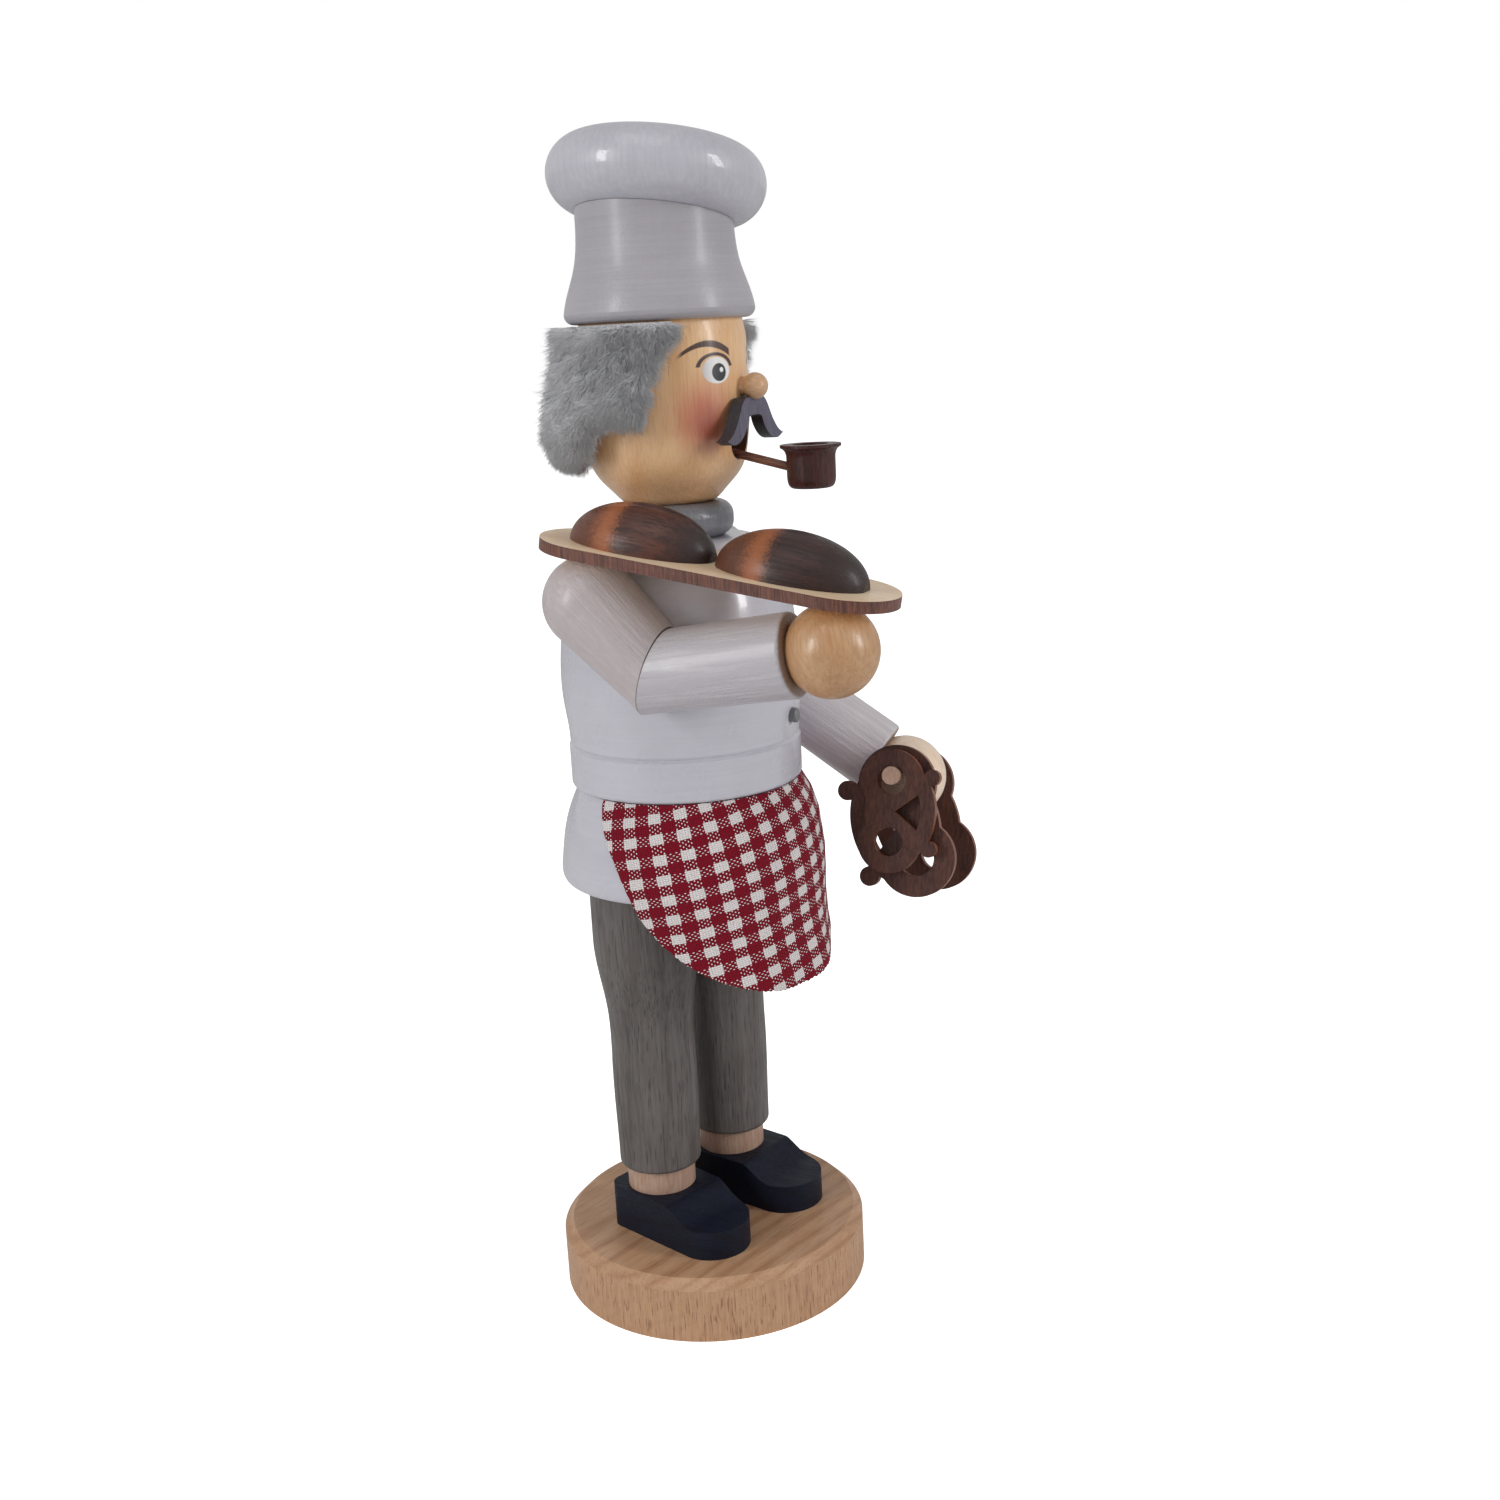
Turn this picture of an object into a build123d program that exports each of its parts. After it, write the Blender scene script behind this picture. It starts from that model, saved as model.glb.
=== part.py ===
"""Smoking man dressed as a baker: a turned wooden figure whose upper half lifts off a small incense plate.

The face looks along -Y and the figure's right hand is on -X. The lower half stands turned a little to its
right. Smoke from a cone on the plate rises through the hollow jacket and the neck and leaves by the mouth.
"""

import os
from math import asin, atan2, cos, hypot, radians, sin, sqrt

from build123d import *

os.makedirs("parts", exist_ok=True)

# Fits and allowances
glue_gap = 0.05
running_gap = 0.08
body_gap = 0.3
overrun = 2.0

# Base disc
base_radius = 29.5
base_height = 12.0
base_chamfer = 1.8
socket_depth = 6.0

# Shoes, ankles and trouser legs, in the frame of the lower half
leg_turn = -18.0
leg_side = 10.15
leg_back = 3.6
shoe_splay = 3.0
shoe_length = 28.0
shoe_heel_back = 7.4
shoe_heel_width = 15.0
shoe_toe_width = 14.2
shoe_heel_height = 8.6
shoe_toe_height = 5.6
shoe_instep_front = 8.2
shoe_vamp_length = 7.0
shoe_corner = 2.6
ankle_radius = 6.5
hem_rise = 13.2
leg_socket_depth = 9.0
hem_radius = 7.8
hem_round = 0.9
shin_radius = 8.05
shin_length = 18.8
knee_radius = 8.2
knee_length = 13.0
thigh_radius = 9.95
thigh_length = 14.0
seat_length = 11.2
tenon_radius = 4.0
tenon_length = 6.0

# Jacket skirt with its spigot
skirt_length = 17.6
skirt_hem_radius = 22.9
skirt_radius = 24.3
skirt_bulge_rise = 3.8
skirt_top_radius = 20.3
spigot_radius = 15.2
spigot_height = 4.2

# Apron of checked cotton, glued round the front of the skirt
apron_thickness = 0.5
apron_drop = 18.5
apron_half_width = 25.6
apron_curve_rise = 6.0
apron_side_front = 2.5
apron_fold_depth = 0.9
apron_folds = 5
apron_fold_reach = 90.0
apron_flare = 1.2
apron_top_drop = 0.4
apron_hip_share = 0.8

# Incense plate and its nail
plate_radius = 12.5
plate_thickness = 0.7
plate_rim = 1.5
nail_radius = 0.8
nail_head_radius = 1.9
nail_head_height = 0.7
nail_length = 9.0

# Jacket torso, turned and bored out
belt_radius = 21.4
belt_edge = 0.8
belt_rise = 8.2
belt_groove = 0.5
chest_radius = 21.9
chest_foot_inset = 0.7
chest_rise = 8.0
shoulder_line_inset = 0.7
shoulder_line_rise = 14.0
collar_radius = 12.4
collar_rise = 14.6
chamber_radius = 15.5
chamber_drop = 2.0
flue_radius = 3.6
flue_cone_height = 10.0
neck_radius = 6.0
neck_length = 11.0

# Jacket buttons
button_radius = 1.35
button_thickness = 1.9
button_seat = 1.1
button_round = 0.4
button_rise = 4.4
button_pitch = 8.4
button_count = 3

# Scarf ring
scarf_radius = 11.1
scarf_height = 6.2
scarf_round = 2.6

# Head
head_foot_radius = 7.4
head_radius = 15.0
head_height = 31.4
head_profile_shares = ((0.66, 0.06), (0.867, 0.175), (0.96, 0.335), (1.0, 0.565), (0.993, 0.86), (0.955, 1.0))
head_cavity_radius = 10.6
head_cavity_share = 0.54
hat_tenon_radius = 5.0
hat_tenon_height = 5.0
mouth_radius = 3.5
mouth_rise = 10.8

# Nose and moustache
nose_radius = 2.3
nose_rise = 19.7
nose_front = 17.4
nose_neck_radius = 1.6
nose_neck_round = 0.6
nose_neck_length = 5.6
moustache_rise = 17.9
moustache_half_width = 12.4
moustache_drop = 7.6
moustache_thickness = 2.2
moustache_back = 15.05
moustache_upper_shares = ((0.43, -0.14), (0.56, -0.40), (0.71, -0.66), (1.0, -0.90))
moustache_lower_shares = ((0.80, -1.0), (0.58, -0.96), (0.40, -0.80), (0.27, -0.57), (0.0, -0.40))
moustache_top_share = 0.30

# Hair strip, from temple to temple round the back
hair_gap = 0.15
hair_top_drop = 0.3
hair_length = 24.2
hair_top_radius = 19.8
hair_radius = 21.7
hair_low_radius = 22.5
hair_foot_radius = 20.6
hair_front_top = 9.4
hair_front_foot = 0.4
hair_side_rise = 7.0
hair_side_back = 3.6

# Hat band and hat crown
band_radius = 16.75
band_height = 17.4
band_foot_round = 1.7
band_waist_radius = 14.5
band_waist_height = 9.4
band_top_radius = 13.7
crown_tilt = 10.0
crown_tilt_front = 3.0
crown_radius = 19.1
crown_thickness = 12.4
crown_tenon_radius = 6.0
crown_tenon_length = 5.0

# Pipe
pipe_stem_radius = 0.75
pipe_stem_fall = 14.0
pipe_stem_start = 12.6
pipe_stem_drop = 2.4
pipe_stem_front = 23.7
bowl_front = 27.2
bowl_rim_radius = 5.3
bowl_radius = 4.25
bowl_foot_radius = 2.9
bowl_drop = 1.2
bowl_lip = 2.3
bowl_lip_edge = 0.5
bowl_height = 7.5
bowl_bore_radius = 3.1
bowl_bore_depth = 5.6

# Arms, from shoulder ball through a mitred elbow to the hand ball
arm_spread = 3.1
shoulder_radius = 8.1
shoulder_back = 4.2
shoulder_drop = 8.1
elbow_radius = 6.95
cuff_radius = 7.15
cuff_round = 0.7
hand_radius = 7.85
wrist_setback = 6.3
right_elbow_front = 7.6
right_elbow_drop = 11.7
right_hand_front = 39.2
right_hand_drop = 7.2
left_elbow_front = 5.0
left_elbow_drop = 21.8
left_hand_spread = 3.0
left_hand_front = 33.3
left_hand_drop = 42.0

# Bread board and loaves
board_inset = 3.4
board_length = 64.0
board_width = 20.6
board_thickness = 2.0
board_forward = 16.5
board_seat_cut = 0.1
loaf_length = 26.6
loaf_radius = 7.7
loaf_end = 0.3
loaf_gap = 0.5
loaf_pair_shift = 0.1
slash_radius = 0.9
slash_arc_radius = 26.0
slash_side = 1.3
slash_skew = 10.0

# Peg and pretzels
peg_radius = 1.7
peg_rise = 14.8
peg_yaw = 7.0
peg_end = 0.7
pretzel_thickness = 2.2
pretzel_slack = 0.35
hand_slack = 0.7
small_pretzel = 11.5
large_pretzel = 14.4
lobe_share = 0.51
lobe_hole_share = 0.235
belly_side_share = 0.16
belly_width_share = 0.58
belly_length_share = 0.80
nub_side_share = 0.66
nub_along_share = 0.58
nub_share = 0.13
gap_tip_share = 0.07
gap_side_share = 0.45
gap_belly_share = 0.50
gap_along_share = 0.29
front_swing = -2.0
second_swing = 16.0
third_swing = 19.0

# Heights that stack up from the base
hem_height = base_height + hem_rise
shin_height = hem_height + shin_length
knee_height = shin_height + knee_length
thigh_height = knee_height + thigh_length
skirt_bottom = thigh_height + seat_length
skirt_widest = skirt_bottom + skirt_bulge_rise
skirt_top = skirt_bottom + skirt_length
apron_bottom = skirt_bottom - apron_drop
apron_curve_height = skirt_bottom + apron_curve_rise
belt_top = skirt_top + belt_rise
chest_height = belt_top + chest_rise
chest_foot_radius = chest_radius - chest_foot_inset
shoulder_line_radius = chest_radius - shoulder_line_inset
shoulder_line_height = chest_height + shoulder_line_rise
chamber_top = shoulder_line_height - chamber_drop
collar_height = shoulder_line_height + collar_rise
button_low = belt_top + button_rise
head_foot = collar_height + scarf_height
head_top = head_foot + head_height
mouth_height = head_foot + mouth_rise
nose_height = head_foot + nose_rise
moustache_top = head_foot + moustache_rise
pipe_stem_start_height = mouth_height - pipe_stem_drop
bowl_top = mouth_height - bowl_drop
shoulder_height = collar_height - shoulder_drop
arm_side = chest_radius + arm_spread
board_side = arm_side - board_inset
left_hand_side = arm_side + left_hand_spread
right_elbow_height = shoulder_height - right_elbow_drop
right_hand_height = shoulder_height - right_hand_drop
left_elbow_height = shoulder_height - left_elbow_drop
left_hand_height = shoulder_height - left_hand_drop

lower = Plane.XY.rotated((0, 0, leg_turn))
lower_front = Plane(origin=lower.origin, x_dir=lower.x_dir, z_dir=-lower.y_dir)
pieces = {}


def post(x, y):
    """Upright plane through a post of the lower half, its second direction along +Z."""
    return Plane(origin=lower.from_local_coords((x, y, 0)), x_dir=lower.x_dir, z_dir=-lower.y_dir)


def along(start, end):
    """Plane whose first direction runs from start to end and whose second one points away from the ground."""
    run = (end - start).normalized()
    return Plane(origin=start, x_dir=run, z_dir=run.cross(Vector(0, 0, 1)).normalized())


# Base disc with a socket for each ankle dowel
legs = {"right": -leg_side, "left": leg_side}
socket_floor = base_height - socket_depth
with BuildPart() as base:
    with BuildSketch():
        Circle(base_radius)
    extrude(amount=base_height)
    chamfer(base.faces().sort_by(Axis.Z)[-1].edges(), base_chamfer)
    with BuildSketch(lower.offset(socket_floor)):
        with Locations(*[(place, leg_back) for place in legs.values()]):
            Circle(ankle_radius + glue_gap)
    extrude(amount=socket_depth, mode=Mode.SUBTRACT)
pieces["base"] = base

# Shoes, ankle dowels and turned trouser legs
shoe_toe = shoe_heel_back - shoe_length
shoe_ball = shoe_toe + shoe_toe_width / 2
for side, place in legs.items():
    outward = place / leg_side
    turn = leg_turn + outward * shoe_splay
    foot = lower.from_local_coords((place, leg_back, base_height))
    sole = Plane(origin=foot, z_dir=(0, 0, 1)).rotated((0, 0, turn))
    with BuildPart() as shoe:
        with BuildSketch(sole) as outline:
            with BuildLine():
                Polyline((-shoe_toe_width / 2, shoe_ball), (-shoe_heel_width / 2, shoe_heel_back),
                         (shoe_heel_width / 2, shoe_heel_back), (shoe_toe_width / 2, shoe_ball))
                ThreePointArc((shoe_toe_width / 2, shoe_ball), (0, shoe_toe),
                              (-shoe_toe_width / 2, shoe_ball))
            make_face()
            fillet(outline.vertices().group_by(Axis.Y)[-1], shoe_corner)
        extrude(amount=shoe_heel_height)
        with BuildSketch(Plane(origin=foot, x_dir=sole.y_dir, z_dir=sole.x_dir)):
            with BuildLine():
                vamp_end = -shoe_instep_front - shoe_vamp_length
                Spline((-shoe_instep_front, shoe_heel_height), (vamp_end, shoe_toe_height),
                       tangents=((-1, 0), (-1, 0)), tangent_scalars=(0.6, 1.2))
                Polyline((vamp_end, shoe_toe_height), (shoe_toe, shoe_toe_height), (shoe_toe, 0),
                         (shoe_heel_back, 0), (shoe_heel_back, shoe_heel_height),
                         (-shoe_instep_front, shoe_heel_height))
            make_face()
        extrude(amount=shoe_heel_width, both=True, mode=Mode.INTERSECT)
        with BuildSketch(sole):
            Circle(ankle_radius + glue_gap)
        extrude(amount=shoe_heel_height, mode=Mode.SUBTRACT)
    pieces["shoe_" + side] = shoe

    with BuildPart() as ankle:
        with BuildSketch(lower.offset(socket_floor)):
            with Locations((place, leg_back)):
                Circle(ankle_radius)
        extrude(amount=hem_height + leg_socket_depth - socket_floor)
    pieces["ankle_" + side] = ankle

    with BuildPart() as leg:
        with BuildSketch(post(place, leg_back)):
            with BuildLine():
                Line((0, hem_height), (hem_radius - hem_round, hem_height))
                CenterArc((hem_radius - hem_round, hem_height + hem_round), hem_round, -90, 90)
                Spline((hem_radius, hem_height + hem_round), (shin_radius, shin_height),
                       (knee_radius, knee_height), (thigh_radius, thigh_height), tangents=((0, 1), (0, 1)))
                Polyline((thigh_radius, thigh_height), (thigh_radius, skirt_bottom),
                         (tenon_radius, skirt_bottom),
                         (tenon_radius, skirt_bottom + tenon_length), (0, skirt_bottom + tenon_length),
                         (0, hem_height))
            make_face()
        revolve(axis=Axis(foot, (0, 0, 1)))
        with BuildSketch(lower.offset(hem_height)):
            with Locations((place, leg_back)):
                Circle(ankle_radius + glue_gap)
        extrude(amount=leg_socket_depth, mode=Mode.SUBTRACT)
    pieces["leg_" + side] = leg

# Jacket skirt: a bell with a spigot that the torso drops over
spigot_top = skirt_top + spigot_height
nail_tip = spigot_top + running_gap + plate_thickness + running_gap - nail_length


def draw_skirt(grow):
    """Half outline of the skirt without its spigot, grown outwards."""
    Spline((skirt_hem_radius + grow, skirt_bottom), (skirt_radius + grow, skirt_widest),
           (skirt_top_radius + grow, skirt_top), tangents=((1, 0), (-0.5, 1)))
    Line((0, skirt_bottom), (skirt_hem_radius + grow, skirt_bottom))


with BuildPart() as skirt:
    with BuildSketch(Plane.XZ):
        with BuildLine():
            draw_skirt(0)
            Polyline((skirt_top_radius, skirt_top), (spigot_radius, skirt_top), (spigot_radius, spigot_top),
                     (0, spigot_top), (0, skirt_bottom))
        make_face()
    revolve(axis=Axis.Z)
    with BuildSketch(lower.offset(skirt_bottom)):
        with Locations(*[(place, leg_back) for place in legs.values()]):
            Circle(tenon_radius + glue_gap)
    extrude(amount=tenon_length, mode=Mode.SUBTRACT)
    with BuildSketch(Plane.XY.offset(nail_tip)):
        Circle(nail_radius + glue_gap)
    extrude(amount=spigot_top - nail_tip, mode=Mode.SUBTRACT)
pieces["jacket_skirt"] = skirt

# Apron: cloth that follows the skirt and hangs free below it in shallow folds
apron_top = skirt_top - apron_top_drop
apron_levels = (
    (apron_top, skirt_top_radius + apron_thickness + 2 * glue_gap, 0.0),
    ((apron_top + skirt_widest) / 2, skirt_top_radius + apron_hip_share * (skirt_radius - skirt_top_radius)
     + apron_thickness + 2 * glue_gap, 0.0),
    (skirt_widest, skirt_radius + apron_thickness + 4 * glue_gap, 0.0),
    (skirt_bottom - apron_thickness, skirt_radius + 2 * apron_thickness, apron_fold_depth / 4),
    ((skirt_bottom + apron_bottom) / 2, skirt_radius + (apron_thickness + apron_flare) / 2 + apron_thickness,
     apron_fold_depth * 2 / 3),
    (apron_bottom - overrun, skirt_radius + apron_thickness + apron_flare, apron_fold_depth),
)


def draw_cloth(radius, depth):
    """Closed ring of arcs, waved over its front half."""
    def at(angle, distance):
        return (distance * sin(radians(angle)), -distance * cos(radians(angle)))

    waves = 2 * apron_folds + 1
    step = 2 * apron_fold_reach / waves
    for wave in range(waves):
        start = wave * step - apron_fold_reach
        bulge = depth if wave % 2 == 0 else -depth
        ThreePointArc(at(start, radius), at(start + step / 2, radius + bulge), at(start + step, radius))
    quarter = (360 - 2 * apron_fold_reach) / 4
    for start in (apron_fold_reach, apron_fold_reach + 2 * quarter):
        ThreePointArc(at(start, radius), at(start + quarter, radius), at(start + 2 * quarter, radius))


with BuildPart() as apron:
    for shrink, mode in ((0, Mode.ADD), (apron_thickness, Mode.SUBTRACT)):
        for level, radius, depth in apron_levels:
            with BuildSketch(lower.offset(level)):
                with BuildLine():
                    draw_cloth(radius - shrink, depth)
                make_face()
        loft(mode=mode)
    with BuildSketch(Plane.XZ):
        with BuildLine():
            draw_skirt(glue_gap)
            Polyline((skirt_top_radius + glue_gap, skirt_top), (0, skirt_top), (0, skirt_bottom))
        make_face()
    revolve(axis=Axis.Z, mode=Mode.SUBTRACT)
    with BuildSketch(lower_front.offset(apron_side_front)):
        with Locations((0, apron_curve_height)):
            Ellipse(apron_half_width, apron_curve_height - apron_bottom)
        with Locations((0, apron_curve_height)):
            Rectangle(2 * apron_half_width, 2 * apron_curve_height, align=(Align.CENTER, Align.MIN))
    extrude(amount=base_radius, mode=Mode.INTERSECT)
pieces["apron"] = apron

# Incense plate, free to turn on the nail that holds it
plate_floor = spigot_top + running_gap
with BuildPart() as plate:
    with BuildSketch(Plane.XZ):
        with BuildLine():
            Polyline((nail_radius + running_gap, plate_floor), (plate_radius - plate_rim, plate_floor),
                     (plate_radius, plate_floor + plate_rim),
                     (plate_radius - plate_thickness, plate_floor + plate_rim),
                     (plate_radius - plate_rim - plate_thickness / 2, plate_floor + plate_thickness),
                     (nail_radius + running_gap, plate_floor + plate_thickness),
                     (nail_radius + running_gap, plate_floor))
        make_face()
    revolve(axis=Axis.Z)
pieces["incense_plate"] = plate

nail_seat = plate_floor + plate_thickness + running_gap
with BuildPart() as nail:
    with BuildSketch(Plane.XZ):
        with BuildLine():
            Polyline((0, nail_tip), (nail_radius, nail_tip), (nail_radius, nail_seat),
                     (nail_head_radius, nail_seat))
            RadiusArc((nail_head_radius, nail_seat), (0, nail_seat + nail_head_height),
                      -(nail_head_radius**2 + nail_head_height**2) / (2 * nail_head_height))
            Line((0, nail_seat + nail_head_height), (0, nail_tip))
        make_face()
    revolve(axis=Axis.Z)
pieces["plate_nail"] = nail

# Arm points and the plane of the bread board's underside
shoulder_right = Vector(-arm_side, shoulder_back, shoulder_height)
shoulder_left = Vector(arm_side, shoulder_back, shoulder_height)
elbow_right = Vector(-arm_side, -right_elbow_front, right_elbow_height)
elbow_left = Vector(arm_side, -left_elbow_front, left_elbow_height)
hand_right = Vector(-arm_side, -right_hand_front, right_hand_height)
hand_left = Vector(left_hand_side, -left_hand_front, left_hand_height)

board_rise = shoulder_height - right_hand_height
board_run = shoulder_back + right_hand_front
board_lean = asin((shoulder_radius - hand_radius) / hypot(board_rise, board_run))
board_slope = atan2(board_rise, board_run) + board_lean
board_along = Vector(0, cos(board_slope), sin(board_slope))
board_up = Vector(0, -sin(board_slope), cos(board_slope))
board_foot = hand_right + board_up * (hand_radius - board_seat_cut)
board_plane = Plane(origin=(-board_side, board_foot.Y, board_foot.Z), x_dir=board_along, z_dir=board_up)
board_middle = (right_hand_front - board_forward) / cos(board_slope)


def cut_board_seat():
    """Flat under the board, in the piece that is being built."""
    with BuildSketch(board_plane.offset(-glue_gap)) as flat:
        with Locations((board_middle, 0)):
            SlotOverall(board_length + 2 * glue_gap, board_width + 2 * glue_gap)
    extrude(flat.sketch, amount=board_thickness + overrun, mode=Mode.SUBTRACT)


# Jacket torso: belt band, groove, chest and shoulders in one turning, with the smoke chamber and flue
torso_foot = skirt_top + body_gap
neck_top = collar_height + neck_length
button_heights = [button_low + step * button_pitch for step in range(button_count)]


def draw_torso(grow):
    """Half outline of the torso up to the collar, grown outwards."""
    Line((0, torso_foot), (belt_radius - belt_edge, torso_foot))
    CenterArc((belt_radius - belt_edge, torso_foot + belt_edge), belt_edge, -90, 90)
    Polyline((belt_radius, torso_foot + belt_edge), (belt_radius, belt_top - belt_groove),
             (belt_radius - belt_groove, belt_top), (chest_foot_radius + grow, belt_top + belt_groove))
    Spline((chest_foot_radius + grow, belt_top + belt_groove), (chest_radius + grow, chest_height),
           (shoulder_line_radius + grow, shoulder_line_height), (collar_radius + grow, collar_height),
           tangents=((0, 1), (-1, 0.1)))


with BuildPart() as torso:
    with BuildSketch(Plane.XZ):
        with BuildLine():
            draw_torso(0)
            Polyline((collar_radius, collar_height), (neck_radius, collar_height), (neck_radius, neck_top),
                     (0, neck_top), (0, torso_foot))
        make_face()
    revolve(axis=Axis.Z)
    with BuildSketch(Plane.XZ):
        with BuildLine():
            Polyline((0, torso_foot), (chamber_radius, torso_foot), (chamber_radius, chamber_top),
                     (flue_radius, chamber_top + flue_cone_height), (flue_radius, neck_top), (0, neck_top),
                     (0, torso_foot))
        make_face()
    revolve(axis=Axis.Z, mode=Mode.SUBTRACT)
    with BuildSketch(Plane.XZ.offset(chest_radius - button_seat)):
        with Locations(*[(0, height) for height in button_heights]):
            Circle(button_radius + glue_gap)
    extrude(amount=button_thickness + overrun, mode=Mode.SUBTRACT)
    cut_board_seat()
pieces["torso"] = torso

for number, height in enumerate(button_heights, 1):
    with BuildPart() as button:
        with BuildSketch(Plane.XZ.offset(chest_radius - button_seat)):
            with Locations((0, height)):
                Circle(button_radius)
        extrude(amount=button_thickness)
        fillet(button.faces().sort_by(Axis.Y)[0].edges(), button_round)
    pieces[f"button_{number}"] = button

# Scarf ring round the neck
with BuildPart() as scarf:
    scarf_inner = neck_radius + glue_gap
    with BuildSketch(Plane.XZ) as ring:
        with Locations(((scarf_inner + scarf_radius) / 2, collar_height + scarf_height / 2)):
            Rectangle(scarf_radius - scarf_inner, scarf_height)
        fillet(ring.vertices().group_by(Axis.X)[-1], scarf_round)
    revolve(axis=Axis.Z)
pieces["scarf"] = scarf

# Head: a turned ball, hollow inside, with the mouth bored through its front
cavity_height = head_foot + head_cavity_share * head_height
nose_place = (0, -nose_front, nose_height)


def draw_head(grow):
    """Half outline of the head, grown outwards."""
    curve = [(head_foot_radius + grow, head_foot)]
    for wide, high in head_profile_shares:
        curve.append((head_radius * wide + grow, head_foot + head_height * high))
    Spline(*curve, tangents=((1, 0.25), (-0.2, 1)))
    Polyline(curve[-1], (0, head_top), (0, head_foot), curve[0])


with BuildPart() as head:
    with BuildSketch(Plane.XZ):
        with BuildLine():
            draw_head(0)
        make_face()
    revolve(axis=Axis.Z)
    with BuildSketch(Plane.XY.offset(head_top)):
        Circle(hat_tenon_radius)
    extrude(amount=hat_tenon_height)
    with Locations((0, 0, cavity_height)):
        Sphere(head_cavity_radius, mode=Mode.SUBTRACT)
    with BuildSketch(Plane.XY.offset(head_foot)):
        Circle(neck_radius + glue_gap)
    extrude(amount=neck_top + glue_gap - head_foot, mode=Mode.SUBTRACT)
    with BuildSketch(Plane.XY.offset(head_foot)):
        Circle(flue_radius)
    extrude(amount=cavity_height - head_foot, mode=Mode.SUBTRACT)
    with BuildSketch(Plane.XZ):
        with Locations((0, mouth_height)):
            Circle(mouth_radius)
    extrude(amount=head_radius + overrun, mode=Mode.SUBTRACT)
    with BuildSketch(Plane.XZ.offset(nose_front - nose_neck_length)):
        with Locations((0, nose_height)):
            Circle(nose_neck_radius + glue_gap)
    extrude(amount=nose_neck_length, mode=Mode.SUBTRACT)
pieces["head"] = head

# Nose: a small turned mushroom, its neck glued in the face
nose_plane = Plane(origin=nose_place, x_dir=(1, 0, 0), z_dir=(0, 0, -1))
with BuildPart() as nose:
    with BuildSketch(nose_plane):
        with BuildLine():
            meet = sqrt(nose_radius**2 - nose_neck_radius**2)
            Line((0, -nose_neck_length), (nose_neck_radius, -nose_neck_length))
            Line((nose_neck_radius, -nose_neck_length), (nose_neck_radius, -meet))
            ThreePointArc((nose_neck_radius, -meet), (nose_radius, 0), (0, nose_radius))
            Line((0, nose_radius), (0, -nose_neck_length))
        make_face()
    revolve(axis=Axis(nose_place, (0, 1, 0)))
    fillet(nose.edges().filter_by(GeomType.CIRCLE).group_by(Axis.Y)[-2], nose_neck_round)
pieces["nose"] = nose



def moustache_points(shares):
    """Points of the moustache's outline, each given as shares of its half width and its drop."""
    return [(wide * moustache_half_width, moustache_top + high * moustache_drop) for wide, high in shares]


# Moustache, sawn from sheet and hollowed where the nose sits on it
with BuildPart() as moustache:
    with BuildSketch(Plane.XZ.offset(moustache_back)):
        with BuildLine():
            upper = moustache_points(((moustache_top_share, 0), *moustache_upper_shares))
            lower_edge = moustache_points(moustache_lower_shares)
            Line((0, moustache_top), upper[0])
            Spline(*upper)
            Spline(upper[-1], *lower_edge, tangents=((-1, -0.3), (-1, 0)))
            mirror(about=Plane.YZ)
        make_face()
    extrude(amount=moustache_thickness)
    with Locations(nose_place):
        Sphere(nose_radius + glue_gap, mode=Mode.SUBTRACT)
pieces["moustache"] = moustache

# Hair: a thick strip of fur round the back of the head, cut away in front along a slanted line
hair_top = head_top - hair_top_drop
hair_foot = hair_top - hair_length
with BuildPart() as hair:
    with BuildSketch(Plane.XZ):
        with BuildLine():
            Spline((hair_top_radius, hair_top), (hair_radius, (hair_top + hair_foot) / 2),
                   (hair_low_radius, hair_foot + hair_length / 4), (hair_foot_radius, hair_foot))
            Polyline((hair_foot_radius, hair_foot), (0, hair_foot), (0, hair_top),
                     (hair_top_radius, hair_top))
        make_face()
    revolve(axis=Axis.Z)
    with BuildSketch(Plane.XZ):
        with BuildLine():
            draw_head(hair_gap)
        make_face()
    revolve(axis=Axis.Z, mode=Mode.SUBTRACT)
    with BuildSketch(Plane.YZ):
        with BuildLine():
            reach = hair_low_radius + overrun
            Polyline((-hair_front_top, hair_top), (-hair_front_foot, hair_foot), (-reach, hair_foot),
                     (-reach, hair_top), (-hair_front_top, hair_top))
        make_face()
    extrude(amount=reach, both=True, mode=Mode.SUBTRACT)
    side_foot = hair_foot + hair_side_rise
    with BuildSketch(Plane.YZ):
        with BuildLine():
            Polyline((-reach, hair_foot), (hair_side_back, hair_foot), (hair_side_back, side_foot),
                     (-reach, side_foot), (-reach, hair_foot))
        make_face()
    extrude(amount=reach, both=True, mode=Mode.SUBTRACT)
pieces["hair"] = hair

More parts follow.
